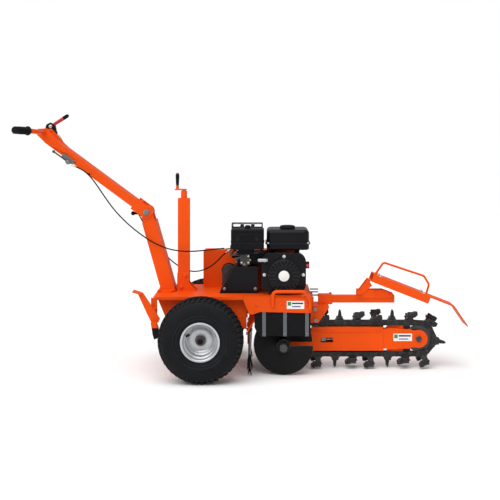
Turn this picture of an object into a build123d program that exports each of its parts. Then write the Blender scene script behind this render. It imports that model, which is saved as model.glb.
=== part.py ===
from build123d import *
import os
from math import atan2, cos, degrees, hypot, pi, radians, sin, sqrt, tan

# Walk-behind trencher.  Millimetres, +X towards the digging boom, +Z up, ground at Z = 0.
# The origin is on the ground under the middle of the machine.

# ---- driving dimensions -------------------------------------------------------------------
AXLE_X, AXLE_Z = -200.0, 190.5      # wheel axle
WHEEL_Y = 300.0                     # middle of each tyre
TYRE_R, TYRE_W = 190.5, 150.0       # 15x6.00-6 tyre
RIM_R = 87.0                        # rim flange radius

DECK_X0, DECK_X1 = -421.0, 296.0    # deck ends
DECK_HALF = 200.0                   # half width of the deck
DECK_TOP = 365.0
SHEET = 4.0                         # sheet steel thickness
LIP = 14.0                          # depth of the deck's folded lip

PIVOT_X, PIVOT_Z = -473.5, 738.0    # handle fold pivot
ARM_TOP_X, ARM_TOP_Z = -940.0, 1082.0
FOOT_X, FOOT_Z = -368.0, 366.0      # foot of the lower arm

MAST_X, MAST_TOP = -299.5, 802.0    # jack mast
CRANK_Z = 838.0
CRANK_REACH = 31.0                  # crank arm, centre to grip
BAR_X, BAR_Z = -953.0, 1114.0       # handlebar

HEAD_X, HEAD_Z = 168.0, 139.0       # head shaft
PITCH = 41.4                        # digging chain pitch
TEETH = 11
CHAIN_R = PITCH / (2 * sin(pi / TEETH))
STRAIGHT_LINKS = 15                 # whole pitches along each straight run
AUGER_R = 136.0

ENGINE_X, ENGINE_Z = 171.0, 455.0   # engine crankshaft axis
JACK_X, JACK_Z = -90.0, 446.0       # intermediate shaft of the belt drive

LOCK_X, LOCK_Z = -418.0, 306.0      # pivot of the wheel lock
BEAM_Z = 326.0                      # guard beam centre height
BEAM_W = 34.0
GUARD_X, GUARD_Z = 528.0, 358.0     # hinge of the crumb guard

os.makedirs("parts", exist_ok=True)


# ---- small shape helpers ------------------------------------------------------------------
def block(x0, x1, y0, y1, z0, z1, mode=Mode.ADD):
    """An upright box between two corners."""
    with Locations(((x0 + x1) / 2, (y0 + y1) / 2, (z0 + z1) / 2)):
        Box(x1 - x0, y1 - y0, z1 - z0, mode=mode)


def rod(start, end, radius, mode=Mode.ADD):
    """A round bar from one point to another."""
    run = Vector(*end) - Vector(*start)
    with Locations(Plane(origin=start, z_dir=run)):
        Cylinder(radius, run.length, align=(Align.CENTER, Align.CENTER, Align.MIN), mode=mode)


def cross_rod(x, z, y0, y1, radius, mode=Mode.ADD):
    """A round bar along Y."""
    rod((x, y0, z), (x, y1, z), radius, mode)


def side_profile(points, y0, y1, mode=Mode.ADD, corner=0.0, inset=0.0):
    """A plate with an outline in X and Z, between two Y values."""
    with BuildSketch(Plane.XZ.offset(-y1)) as outline:
        with BuildLine():
            Polyline(*points, close=True)
        make_face()
        if inset > 0:
            offset(amount=-inset, kind=Kind.INTERSECTION, mode=Mode.REPLACE)
        if corner > 0:
            fillet(outline.vertices(), corner)
    extrude(outline.sketch, amount=y1 - y0, mode=mode)


def sloping_box(start, end, depth, y0, y1, mode=Mode.ADD):
    """A straight bar whose centre line runs between two (x, z) points, `depth` thick."""
    dx, dz = end[0] - start[0], end[1] - start[1]
    length = hypot(dx, dz)
    nx, nz = -dz / length * depth / 2, dx / length * depth / 2
    corners = [(start[0] + nx, start[1] + nz), (end[0] + nx, end[1] + nz),
               (end[0] - nx, end[1] - nz), (start[0] - nx, start[1] - nz)]
    side_profile(corners, y0, y1, mode)


def bent_tube(points, bends, radius, mode=Mode.ADD):
    """A round bar swept along straight runs joined by tangent arcs."""
    with BuildLine() as path:
        FilletPolyline(*points, radius=bends)
    with BuildSketch(Plane(origin=path.line @ 0, z_dir=path.line % 0)) as section:
        Circle(radius)
    sweep(section.sketch, path=path.line, mode=mode)


def hex_head(point, direction, across=13.0, height=6.0):
    """A bolt head standing on a face."""
    with BuildSketch(Plane(origin=point, z_dir=direction)) as head:
        RegularPolygon(across / 2, 6, major_radius=False)
    extrude(head.sketch, amount=height)


def save(part, label):
    """Name a finished piece and write its file."""
    part.label = label
    export_step(part, f"parts/{label}.step")


def along(start, end, fraction):
    """A point part of the way from one (x, z) point to another."""
    return (start[0] + (end[0] - start[0]) * fraction, start[1] + (end[1] - start[1]) * fraction)


# ---- frame --------------------------------------------------------------------------------
HANGER_Y0, HANGER_Y1 = 58.0, 66.0   # plates that hold the head shaft
AXLE_PLATE_Y = 150.0
HUB_R = 25.95

with BuildPart() as deck_frame:
    block(DECK_X0, DECK_X1, -DECK_HALF, DECK_HALF, DECK_TOP - SHEET, DECK_TOP)
    for side in (-1, 1):
        lip_y = sorted((side * (DECK_HALF - SHEET), side * DECK_HALF))
        block(DECK_X0, -14, *lip_y, DECK_TOP - LIP, DECK_TOP - SHEET)
        plate_y = sorted((side * AXLE_PLATE_Y, side * (AXLE_PLATE_Y - SHEET)))
        side_profile([(-413, 361), (-374, 268), (-60, 268), (-12, 210), (0, 210), (0, 361)], *plate_y)
        rail_y = sorted((side * 95, side * 99))
        side_profile([(0, 361), (0, 325), (292, 325), (292, 361)], *rail_y)
        hang_y = sorted((side * HANGER_Y0, side * HANGER_Y1))
        side_profile([(96, 361), (128, 118), (148, 97), (188, 97), (208, 118), (240, 361)], *hang_y)
        # stub tube that the boom swings on, round the head shaft
        cross_rod(HEAD_X, HEAD_Z, *sorted((side * 20.5, side * HANGER_Y1)), HUB_R)
        cross_rod(HEAD_X, HEAD_Z, *sorted((side * 20, side * 70)), 18, Mode.SUBTRACT)
    block(DECK_X0, DECK_X0 + SHEET, -DECK_HALF, DECK_HALF, DECK_TOP - LIP, DECK_TOP - SHEET)
    block(DECK_X1 - SHEET, DECK_X1, -DECK_HALF, DECK_HALF, 300, DECK_TOP - SHEET)
    # clearance for the jack's post, the drive chain and the handle arm's bolts
    block(MAST_X - 27, MAST_X + 27, -27, 27, 355, 370, Mode.SUBTRACT)
    block(-80, 52, 107, 137, 355, 370, Mode.SUBTRACT)
    # ear for the wheel lock's pin
    block(-432, -404, -206, -200, 288, 361)
    cross_rod(LOCK_X, LOCK_Z, -210, -190, 6.05, Mode.SUBTRACT)
save(deck_frame.part, "deck_frame")

with BuildPart() as side_plates:
    for side in (-1, 1):
        plate_y = sorted((side * DECK_HALF, side * (DECK_HALF + SHEET)))
        side_profile([(-13, 361), (-13, 347), (12, 286), (30, 286), (62, 297), (290, 292), (296, 298),
                      (296, 361)], *plate_y)
save(side_plates.part, "side_plates")

SKIRT_BOLT_Z = 197.0
SKIRT_BOLT_Y = (-186.2, -88.2, 9.8, 68.6, 166.6)
CASE_Y0, CASE_Y1 = 104.0, 140.0     # drive chain case


def skirt_bolt_holes():
    """Holes through the layers at the foot of the deflector."""
    for y in SKIRT_BOLT_Y:
        rod((0, y, SKIRT_BOLT_Z), (30, y, SKIRT_BOLT_Z), 4.1, Mode.SUBTRACT)


with BuildPart() as deflector:
    # bent sheet between the wheels and the auger
    side_profile([(8, 205), (66, 297), (66, 325), (62, 325), (62, 299), (4, 207), (4, 150), (8, 150)],
                 -191.5, 191.5)
    block(0, 70, CASE_Y0 - 3, CASE_Y1 + 3, 206, 330, Mode.SUBTRACT)
    block(40, 70, -101, -93, 200, 330, Mode.SUBTRACT)
    block(40, 70, 93, 101, 200, 330, Mode.SUBTRACT)
    skirt_bolt_holes()
save(deflector.part, "deflector")

BATTEN_X = (80.0, 175.0, 275.0)
with BuildPart() as curtain_clamps:
    # skirt bar of the fringe, and the three strips that clamp the side curtain
    block(14, 20, -196, 196, 103, 204)
    skirt_bolt_holes()
    for x in BATTEN_X:
        block(x - 8, x + 8, -199.9, -196, 186, 321)
        hex_head((x, -199.9, 196), (0, -1, 0), 10, 5)
save(curtain_clamps.part, "curtain_clamps")

FRINGE_STRIPS = 20
with BuildPart() as rubber_curtains:
    # slit fringe across the machine, and the curtain beside the auger
    step = 392 / FRINGE_STRIPS
    for index in range(FRINGE_STRIPS):
        y0 = -196 + index * step
        lean = 9 * sin(index * 2.3)
        side_profile([(8.2, 204), (13.8, 204), (13.8, 100), (13 + lean, 2), (9 + lean, 2), (8.2, 100)],
                     y0 + 0.4, y0 + step - 0.4)
    skirt_bolt_holes()
    side_profile([(36, 323), (36, 230), (52, 186), (292, 186), (292, 323)], -195.9, -192, corner=3)
save(rubber_curtains.part, "rubber_curtains")

with BuildPart() as lift_handles:
    for side in (-1, 1):
        y = side * (DECK_HALF + SHEET + 7.6)
        bent_tube([(119, y, 322), (119, y, 390), (262, y, 390), (288, y, 350), (288, y, 306)],
                  [20, 16, 22], 7.5)
save(lift_handles.part, "lift_handles")

# ---- jack mast, its post, the axle it carries and the crank -------------------------------
POST_HALF = 20.0
with BuildPart() as mast:
    block(MAST_X - 27, MAST_X + 27, -27, 27, 356, MAST_TOP)
    block(MAST_X - POST_HALF - 0.05, MAST_X + POST_HALF + 0.05, -POST_HALF - 0.05, POST_HALF + 0.05,
          350, MAST_TOP - 6, Mode.SUBTRACT)
    rod((MAST_X, 0, MAST_TOP), (MAST_X, 0, CRANK_Z - 1), 14.5)
    rod((MAST_X, 0, 780), (MAST_X, 0, CRANK_Z), 8.05, Mode.SUBTRACT)
    for side in (-1, 1):
        gusset_y = sorted((side * 27, side * 32))
        side_profile([(-329, 365), (-326, 452), (-273, 452), (-273, 405), (-236, 365)], *gusset_y)
save(mast.part, "mast")

AXLE_R = 12.5
with BuildPart() as axle_carriage:
    # post that slides in the mast, with a bore for the screw, and the beam down to the axle
    block(MAST_X - POST_HALF, MAST_X + POST_HALF, -POST_HALF, POST_HALF, 176, 770)
    rod((MAST_X, 0, 330), (MAST_X, 0, 771), 8.05, Mode.SUBTRACT)
    block(MAST_X + POST_HALF, AXLE_X + 22, -22, 22, 168, 213)
    cross_rod(AXLE_X, AXLE_Z, -WHEEL_Y - 45, WHEEL_Y + 45, AXLE_R)
    cross_rod(AXLE_X, AXLE_Z, -214, 214, 19)
save(axle_carriage.part, "axle_carriage")

with BuildPart() as crank:
    # lead screw with the crank arm and the grip's spindle
    rod((MAST_X, 0, 345), (MAST_X, 0, CRANK_Z + 2), 8)
    with BuildSketch(Plane.XY.offset(CRANK_Z + 2)) as bar:
        with Locations((MAST_X - CRANK_REACH / 2, 0)):
            SlotCenterToCenter(CRANK_REACH, 26)
    extrude(bar.sketch, amount=6)
    rod((MAST_X - CRANK_REACH, 0, CRANK_Z + 8), (MAST_X - CRANK_REACH, 0, CRANK_Z + 84), 4)
    rod((MAST_X - CRANK_REACH, 0, CRANK_Z + 8), (MAST_X - CRANK_REACH, 0, CRANK_Z + 22), 7)
    rod((MAST_X - CRANK_REACH, 0, CRANK_Z + 80), (MAST_X - CRANK_REACH, 0, CRANK_Z + 84), 7)
save(crank.part, "crank")

with BuildPart() as crank_grip:
    with BuildSketch(Plane.XZ) as half:
        with BuildLine():
            Polyline((4.05, CRANK_Z + 23), (6.5, CRANK_Z + 23), (8.5, CRANK_Z + 45),
                     (9, CRANK_Z + 65), (7, CRANK_Z + 79), (4.05, CRANK_Z + 79), close=True)
        make_face()
    revolve(half.sketch, axis=Axis.Z)
crank_grip_part = Pos(MAST_X - CRANK_REACH, 0, 0) * crank_grip.part
save(crank_grip_part, "crank_grip")


# ---- wheels -------------------------------------------------------------------------------
def wheel_profile(points):
    """Ring about the wheel's own axis (local Z), from (radius, height) points."""
    with BuildSketch(Plane.XZ) as half:
        with BuildLine():
            Polyline(*points, close=True)
        make_face()
    revolve(half.sketch, axis=Axis.Z)


LUGS = 36
for name, side in (("right", -1), ("left", 1)):
    stand = Plane(origin=(AXLE_X, side * WHEEL_Y, AXLE_Z), x_dir=(1, 0, 0), z_dir=(0, side, 0))
    half_w = TYRE_W / 2
    with BuildPart() as tyre:
        wheel_profile([(78.2, -55), (80, -58.4), (89, -60.5), (98, -68), (130, -half_w), (160, -71), (178, -61),
                       (184.5, -45), (185.5, 0), (184.5, 45), (178, 61), (160, 71), (130, half_w),
                       (98, 68), (89, 60.5), (80, 58.4), (78.2, 55), (78.2, 50), (92, 48), (120, 63), (150, 62),
                       (170, 36), (170, -36), (150, -62), (120, -63), (92, -48), (78.2, -50)])
        with PolarLocations(0, LUGS):
            with Locations((TYRE_R - 8, 0, 45)):
                Box(16, 17, 34)
            with Locations((TYRE_R - 8, 0, -45)):
                Box(16, 17, 34)
        with PolarLocations(0, LUGS, 180 / LUGS):
            with Locations((TYRE_R - 8, 0, 0)):
                Box(15, 17, 44)
        with BuildSketch(Plane.XY.offset(-half_w)) as rim_line:
            Circle(TYRE_R)
        extrude(rim_line.sketch, amount=TYRE_W, mode=Mode.INTERSECT)
    save(stand * tyre.part, f"tyre_{name}")

    with BuildPart() as rim:
        # drop-centre rim with a deep dish: outer face towards +Z
        wheel_profile([(RIM_R, 66), (RIM_R, 62), (79.5, 59.5), (78, 58), (78, 49), (66, 38), (66, -38),
                       (78, -49), (78, -58), (79.5, -59.5), (RIM_R, -62), (RIM_R, -66), (77, -62),
                       (75, -58), (75, -50.5), (63, -39.5), (63, 39.5), (75, 50.5), (75, 58), (77, 62)])
        wheel_profile([(64, 20), (57, 16), (48, 9), (24, 8), (24, 21.9), (AXLE_R + 0.05, 21.9),
                       (AXLE_R + 0.05, -22), (24, -22), (24, 4), (50, 5), (60, 12), (64, 15)])
        rod((-50, 22, 38), (-58, 26, 64), 4)
        rod((-56, 25, 12), (-50, 22, 40), 4)
    save(stand * rim.part, f"rim_{name}")

with BuildPart() as axle_nuts:
    for side in (-1, 1):
        washer_y = side * (WHEEL_Y + 22.3)
        cross_rod(AXLE_X, AXLE_Z, *sorted((washer_y, washer_y + side * 4)), 19)
        hex_head((AXLE_X, washer_y + side * 4, AXLE_Z), (0, side, 0), 34, 14)
        cross_rod(AXLE_X, AXLE_Z, *sorted((washer_y - side, side * (WHEEL_Y + 60))), AXLE_R + 0.02,
                  Mode.SUBTRACT)
save(axle_nuts.part, "axle_nuts")

# ---- handle -------------------------------------------------------------------------------
ARM_HALF = 50.0
LOWER_DEPTH, UPPER_DEPTH = 64.0, 38.0
BARREL_R = 27.0                     # pivot barrel
PIN_Z = PIVOT_Z - 8
PIVOT = (PIVOT_X, PIVOT_Z)
FOOT = (FOOT_X, FOOT_Z)
ARM_TOP = (ARM_TOP_X, ARM_TOP_Z)

with BuildPart() as lower_arm:
    lower_top = along(PIVOT, FOOT, 0.13)
    sloping_box(along(FOOT, PIVOT, -0.02), lower_top, LOWER_DEPTH, -ARM_HALF, ARM_HALF)
    sloping_box(along(FOOT, PIVOT, -0.1), along(PIVOT, FOOT, 0.10), LOWER_DEPTH - 8, -ARM_HALF + 4,
                ARM_HALF - 4, Mode.SUBTRACT)
    # plate foot on the deck
    block(FOOT_X - 52, FOOT_X + 28, -60, 60, DECK_TOP, DECK_TOP + 5)
    block(-500, -200, -80, 80, 300, DECK_TOP, Mode.SUBTRACT)
    # closed top, pivot barrel and the two ears that hold it
    sloping_box(along(PIVOT, FOOT, 0.115), along(PIVOT, FOOT, 0.13), LOWER_DEPTH, -ARM_HALF, ARM_HALF)
    cross_rod(PIVOT_X, PIVOT_Z, -45.5, 45.5, BARREL_R)
    for side in (-1, 1):
        ear_y = sorted((side * 38, side * 45.5))
        sloping_box(PIVOT, along(PIVOT, FOOT, 0.2), 54, *ear_y)
    cross_rod(PIVOT_X, PIVOT_Z, -60, 60, 8.05, Mode.SUBTRACT)
    # index hole for the lock pin
    rod((-520, 0, PIN_Z), (-486, 0, PIN_Z), 6.1, Mode.SUBTRACT)
save(lower_arm.part, "lower_arm")

UPPER_START = 0.085
with BuildPart() as upper_arm:
    start = along(PIVOT, ARM_TOP, UPPER_START)
    sloping_box(start, ARM_TOP, UPPER_DEPTH, -ARM_HALF, ARM_HALF)
    sloping_box(along(PIVOT, ARM_TOP, 0.0), along(PIVOT, ARM_TOP, 0.985), UPPER_DEPTH - 6,
                -ARM_HALF + 3, ARM_HALF - 3, Mode.SUBTRACT)
    for side in (-1, 1):
        cheek_y = sorted((side * 46, side * 50))
        cross_rod(PIVOT_X, PIVOT_Z, *cheek_y, 30)
        sloping_box(PIVOT, along(PIVOT, ARM_TOP, 0.12), 58, *cheek_y)
        cross_rod(PIVOT_X, PIVOT_Z, side * 40, side * 60, 8.05, Mode.SUBTRACT)
        # flared top plates that hold the handlebar
        plate_y = sorted((side * 50, side * 54))
        side_profile([(-852, 1040), (-838, 1008), (-945, 1064), (-985, 1102), (-978, 1130),
                      (-938, 1132), (-876, 1062)], *plate_y)
        cross_rod(BAR_X, BAR_Z, side * 40, side * 60, 11.1, Mode.SUBTRACT)
    # bridge that carries the lock pin
    sloping_box(along(PIVOT, ARM_TOP, 0.075), along(PIVOT, ARM_TOP, 0.09), 58, -50, 50)
    rod((-600, 0, PIN_Z), (-400, 0, PIN_Z), 6.05, Mode.SUBTRACT)
save(upper_arm.part, "upper_arm")

with BuildPart() as handlebar:
    for side in (-1, 1):
        bent_tube([(BAR_X, 0, BAR_Z), (BAR_X, side * 190, BAR_Z), (BAR_X - 26, side * 240, BAR_Z + 3),
                   (BAR_X - 66, side * 325, BAR_Z + 5)], [40, 60], 11)
save(handlebar.part, "handlebar")

GRIP_START = (BAR_X - 27, 242.0, BAR_Z + 3.1)
GRIP_END = (BAR_X - 67.5, 328.0, BAR_Z + 5.1)
with BuildPart() as grips:
    for side in (-1, 1):
        start = (GRIP_START[0], side * GRIP_START[1], GRIP_START[2])
        end = (GRIP_END[0], side * GRIP_END[1], GRIP_END[2])
        rod(start, end, 17)
        near = tuple(s + (e - s) * 0.07 for s, e in zip(start, end))
        rod(start, near, 21)
        rod(start, tuple(s + (e - s) * 0.967 for s, e in zip(start, end)), 11.02, Mode.SUBTRACT)
save(grips.part, "grips")

# ---- clutch lever on the far side of the bar, throttle lever under the arm ------------------
LEVER_Y = 150.0
THROTTLE_X, THROTTLE_Z = -838.0, 975.0
LEVER_ROOT = (BAR_X - 10, BAR_Z + 31)
LEVER_TIP = (BAR_X + 69, BAR_Z + 82)
with BuildPart() as lever_mounts:
    cross_rod(BAR_X, BAR_Z, LEVER_Y - 20, LEVER_Y + 20, 17)
    for side in (-1, 1):
        cheek_y = sorted((LEVER_Y + side * 8, LEVER_Y + side * 14))
        side_profile([(BAR_X - 42, BAR_Z + 2), (BAR_X - 30, BAR_Z + 40), (BAR_X - 12, BAR_Z + 50),
                      (BAR_X + 10, BAR_Z + 36), (BAR_X + 20, BAR_Z - 14), (BAR_X, BAR_Z - 14)], *cheek_y)
    block(BAR_X - 44, BAR_X - 14, LEVER_Y - 14, LEVER_Y + 14, BAR_Z - 2, BAR_Z + 14)
    # stop for the clutch cable
    block(BAR_X + 14, BAR_X + 20, LEVER_Y - 8.5, LEVER_Y + 8.5, BAR_Z - 14, BAR_Z + 4)
    cross_rod(BAR_X, BAR_Z, LEVER_Y - 30, LEVER_Y + 30, 11.02, Mode.SUBTRACT)
    cross_rod(*LEVER_ROOT, LEVER_Y - 30, LEVER_Y + 30, 4.05, Mode.SUBTRACT)
    sloping_box((-864, 1006), (-812, 969), 22, -59, -54)
    cross_rod(THROTTLE_X, THROTTLE_Z, -59, -54, 12)
    cross_rod(THROTTLE_X, THROTTLE_Z, -60, -53, 4.05, Mode.SUBTRACT)
save(lever_mounts.part, "lever_mounts")

with BuildPart() as clutch_lever:
    cross_rod(*LEVER_ROOT, LEVER_Y - 7.9, LEVER_Y + 7.9, 12)
    sloping_box(LEVER_ROOT, LEVER_TIP, 17, LEVER_Y - 7, LEVER_Y + 7)
    cross_rod(*LEVER_TIP, LEVER_Y - 7, LEVER_Y + 7, 8.5)
    cross_rod(*LEVER_ROOT, LEVER_Y - 16, LEVER_Y + 16, 4)
save(clutch_lever.part, "clutch_lever")

with BuildPart() as throttle_lever:
    cross_rod(THROTTLE_X, THROTTLE_Z, -62, -54.4, 4)
    cross_rod(THROTTLE_X, THROTTLE_Z, -64.5, -59.3, 11)
    sloping_box((THROTTLE_X, THROTTLE_Z), (THROTTLE_X - 66, THROTTLE_Z + 48), 7, -64, -60)
    cross_rod(THROTTLE_X - 66, THROTTLE_Z + 48, -64, -60, 7)
save(throttle_lever.part, "throttle_lever")

with BuildPart() as lock_pin:
    # spring plunger, drawn clear of its hole
    rod((-540, 0, PIN_Z), (-507, 0, PIN_Z), 6)
    with Locations((-541, 0, PIN_Z)):
        Sphere(10)
save(lock_pin.part, "lock_pin")


# ---- cables ---------------------------------------------------------------------------------
CABLE_R = 3.0


def cable(points, label):
    """Round cable along straight runs joined by arcs as large as the runs allow."""
    corners = [Vector(*point) for point in points]
    runs = [corners[i + 1] - corners[i] for i in range(len(corners) - 1)]
    bends = []
    for before, after in zip(runs, runs[1:]):
        turn = radians(before.get_angle(after))
        bends.append(0.45 * min(before.length, after.length) / tan(turn / 2))
    print(label, "bend radii", [round(bend) for bend in bends])
    with BuildPart() as cord:
        with BuildLine() as path:
            FilletPolyline(*points, radius=bends)
        with BuildSketch(Plane(origin=path.line @ 0, z_dir=path.line % 0)) as section:
            Circle(CABLE_R)
        sweep(section.sketch, path=path.line)
    length = path.wire().length
    print(label, "length", round(length), "volume ratio",
          round(cord.part.volume / (pi * CABLE_R ** 2 * length), 4))
    save(cord.part, label)


THROTTLE_ROUTE = [(-826, -62, 962), (-785, -66, 948), (-738, -70, 916), (-700, -72, 866), (-664, -72, 812),
                  (-622, -73, 754), (-572, -73, 700), (-514, -72, 650), (-452, -70, 606), (-388, -68, 574),
                  (-322, -66, 558), (-256, -66, 556), (-192, -66, 562), (-134, -64, 568), (-78.1, -62, 573)]
CLUTCH_ROUTE = [(-928.6, 150, 1103), (-914, 150, 1084), (-894, 146, 1048), (-860, 138, 1010), (-818, 128, 976),
                (-768, 116, 938), (-716, 104, 900), (-662, 92, 862), (-608, 82, 822), (-560, 74, 776),
                (-526, 70, 726), (-498, 68, 674), (-468, 66, 624), (-436, 64, 576), (-400, 62, 532),
                (-360, 58, 494), (-316, 52, 464), (-270, 44, 448), (-224, 30, 452), (-184, 12, 470),
                (-150, -8, 496), (-120, -25, 528), (-99, -34, 549), (-78.1, -38, 562)]
cable(THROTTLE_ROUTE, "throttle_cable")
cable(CLUTCH_ROUTE, "clutch_cable")

# ---- digging boom -----------------------------------------------------------------------------
BOOM_X0, BOOM_X1 = 305.0, 640.0
BOOM_HALF_Y = 27.0
# length of each straight run makes the whole chain an even number of pitches
last_wrap = pi / 2 + 5 * 2 * pi / TEETH
lead_in = CHAIN_R * cos(last_wrap) + sqrt(PITCH ** 2 - (CHAIN_R * (1 + sin(last_wrap))) ** 2)
CENTRES = lead_in + STRAIGHT_LINKS * PITCH
NOSE_X = HEAD_X + CENTRES

with BuildPart() as boom:
    block(BOOM_X0, BOOM_X1, -BOOM_HALF_Y, BOOM_HALF_Y, HEAD_Z - 54, HEAD_Z + 57)
    block(BOOM_X0 + 6, BOOM_X1 + 5, -23.05, 23.05, HEAD_Z - 46, HEAD_Z + 46, Mode.SUBTRACT)
    for side in (-1, 1):
        ear_y = sorted((side * 21, side * 27))
        sloping_box((HEAD_X, HEAD_Z), (BOOM_X0 + 20, HEAD_Z), 84, *ear_y)
        cross_rod(HEAD_X, HEAD_Z, *ear_y, 42)
        cross_rod(HEAD_X, HEAD_Z, side * 10, side * 40, 26, Mode.SUBTRACT)
        # raised ridge along the side plate, and its foot flange
        ridge_y = sorted((side * 27, side * 30))
        block(BOOM_X0, BOOM_X1, *ridge_y, HEAD_Z + 34, HEAD_Z + 38)
        block(BOOM_X0, BOOM_X1, *ridge_y, HEAD_Z - 54, HEAD_Z - 48)
        # window of the chain tensioner
        slot_y = sorted((side * 20, side * 30))
        block(347, 405, *slot_y, HEAD_Z - 16, HEAD_Z + 6, Mode.SUBTRACT)
save(boom.part, "boom")

with BuildPart() as nose_slide:
    block(430, 775, -23, 23, HEAD_Z - 45.95, HEAD_Z + 45.95)
    block(424, 770, -17, 17, HEAD_Z - 38, HEAD_Z + 38, Mode.SUBTRACT)
    for side in (-1, 1):
        fork_y = sorted((side * 18, side * 23))
        side_profile([(BOOM_X1 + 20, HEAD_Z - 50), (BOOM_X1 + 20, HEAD_Z + 50), (706, HEAD_Z + 50),
                      (742, HEAD_Z + 40), (NOSE_X, HEAD_Z + 40), (NOSE_X, HEAD_Z - 40),
                      (742, HEAD_Z - 40), (706, HEAD_Z - 50)], *fork_y)
        cross_rod(NOSE_X, HEAD_Z, *fork_y, 42)
        cross_rod(NOSE_X, HEAD_Z, side * 10, side * 40, 10.05, Mode.SUBTRACT)
    block(745, NOSE_X + 80, -17.5, 17.5, HEAD_Z - 60, HEAD_Z + 60, Mode.SUBTRACT)
    # rails that the chain runs on
    for side in (-1, 1):
        block(662, 738, -8.5, 8.5, *sorted((HEAD_Z + side * 38, HEAD_Z + side * 62)))
save(nose_slide.part, "nose_slide")

with BuildPart() as nose_roller:
    cross_rod(NOSE_X, HEAD_Z, -8, 8, CHAIN_R - 11.5)
    cross_rod(NOSE_X, HEAD_Z, -27, 27, 10)
    cross_rod(NOSE_X, HEAD_Z, -27.2, -23.2, 14)
    cross_rod(NOSE_X, HEAD_Z, 23.2, 27.2, 14)
    cross_rod(NOSE_X, HEAD_Z, -17, 17, 16)
save(nose_roller.part, "nose_roller")

with BuildPart() as tension_screw:
    rod((312, 0, HEAD_Z - 5), (429.8, 0, HEAD_Z - 5), 7)
    with BuildSketch(Plane(origin=(350, 0, HEAD_Z - 5), z_dir=(1, 0, 0))) as nut:
        RegularPolygon(13, 6, major_radius=False)
    extrude(nut.sketch, amount=22)
save(tension_screw.part, "tension_screw")


def chain_pins():
    """Centres of the chain's pins, in order round both sprockets, as (x, z)."""
    half = []
    for index in range(6):
        angle = pi / 2 + index * 2 * pi / TEETH
        half.append((CHAIN_R * cos(angle), CHAIN_R * sin(angle)))
    for index in range(STRAIGHT_LINKS):
        half.append((lead_in + index * PITCH, -CHAIN_R))
    other = [(CENTRES - x, -z) for x, z in half]
    return [(HEAD_X + x, HEAD_Z + z) for x, z in half + other]


def link_plate(start, end, y0, y1, height):
    """One chain side plate between two pins."""
    sloping_box(start, end, height, y0, y1)
    for pin in (start, end):
        cross_rod(*pin, y0, y1, height / 2)


PINS = chain_pins()
INNER_Y, PLATE_T = 10.0, 4.5
with BuildPart() as chain_inner_links:
    for index in range(0, len(PINS), 2):
        start, end = PINS[index], PINS[(index + 1) % len(PINS)]
        for side in (-1, 1):
            plate_y = sorted((side * INNER_Y, side * (INNER_Y + PLATE_T)))
            link_plate(start, end, *plate_y, 23)
        for pin in (start, end):
            cross_rod(*pin, -INNER_Y, INNER_Y, 9)
            cross_rod(*pin, -20, 20, 5.2, Mode.SUBTRACT)

OUTER_Y = INNER_Y + PLATE_T + 0.3
with BuildPart() as chain_outer_links:
    for index in range(1, len(PINS), 2):
        start, end = PINS[index], PINS[(index + 1) % len(PINS)]
        for side in (-1, 1):
            plate_y = sorted((side * OUTER_Y, side * (OUTER_Y + PLATE_T)))
            link_plate(start, end, *plate_y, 23)
        for pin in (start, end):
            cross_rod(*pin, -OUTER_Y - PLATE_T - 2, OUTER_Y + PLATE_T + 2, 5)
digging_chain = Compound(children=[*chain_inner_links.part.solids(), *chain_outer_links.part.solids()])
save(digging_chain, "digging_chain")


def cutter(start, end, kind):
    """Digging tooth on an outer link: kinds 0 and 1 are cups leaning to each side, 2 is a spike."""
    mid = ((start[0] + end[0]) / 2, (start[1] + end[1]) / 2)
    # outward direction of this link, seen from the chain's inside
    turn = atan2(end[1] - start[1], end[0] - start[0])
    out = Plane(origin=(mid[0], 0, mid[1]), x_dir=(cos(turn), 0, sin(turn)),
                z_dir=(sin(turn), 0, -cos(turn)))
    reach = 62.0 if kind == 2 else 56.0
    lean = (-1, 1, 0)[kind]
    base_y = OUTER_Y + PLATE_T
    with BuildPart() as tooth:
        # saddle across both side plates
        with Locations((0, 0, 14.5)):
            Box(38, 2 * base_y, 5.5)
        if kind == 2:
            with BuildSketch(Plane.XZ.offset(-9)) as blade:
                with BuildLine():
                    Polyline((-20, 16), (18, 16), (8, 30), (3, reach - 4), (-3, reach), (-8, reach - 8),
                             (-10, 30), close=True)
                make_face()
            extrude(blade.sketch, amount=18)
            with Locations((0, 0, 22)):
                Box(30, 2 * base_y, 12)
        else:
            # tall leaning arm with a cupped cutting pad, and a short one opposite
            for hand, tall in ((lean, reach), (-lean, reach - 17)):
                with BuildSketch(Plane.YZ.offset(-12)) as arm:
                    with BuildLine():
                        Polyline((-hand * 2, 15), (hand * 19, 15), (hand * 38, tall - 18),
                                 (hand * 46, tall - 4), (hand * 36, tall), (hand * 18, tall - 16),
                                 close=True)
                    make_face()
                extrude(arm.sketch, amount=26)
                with BuildSketch(Plane.XZ.offset(-hand * 34 - 11)) as pad:
                    with BuildLine():
                        Polyline((-34, tall - 14), (-22, tall - 25), (14, tall - 27), (20, tall - 16),
                                 (-6, tall - 4), (-20, tall + 2), (-32, tall + 1), close=True)
                    make_face()
                extrude(pad.sketch, amount=22)
    return out * tooth.part


teeth = []
for index in range(1, len(PINS), 2):
    start, end = PINS[index], PINS[(index + 1) % len(PINS)]
    teeth.append(cutter(start, end, (index // 2) % 3))
chain_cutters = Compound(children=teeth)
save(chain_cutters, "chain_cutters")

# ---- head shaft, auger, and the drive to it -----------------------------------------------------
SHAFT_R = 15.0
with BuildPart() as head_shaft:
    cross_rod(HEAD_X, HEAD_Z, -232, 136, SHAFT_R)
    cross_rod(HEAD_X, HEAD_Z, -238, -232, 17)
    hex_head((HEAD_X, -238, HEAD_Z), (0, -1, 0), 17, 8)
save(head_shaft.part, "head_shaft")

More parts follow.
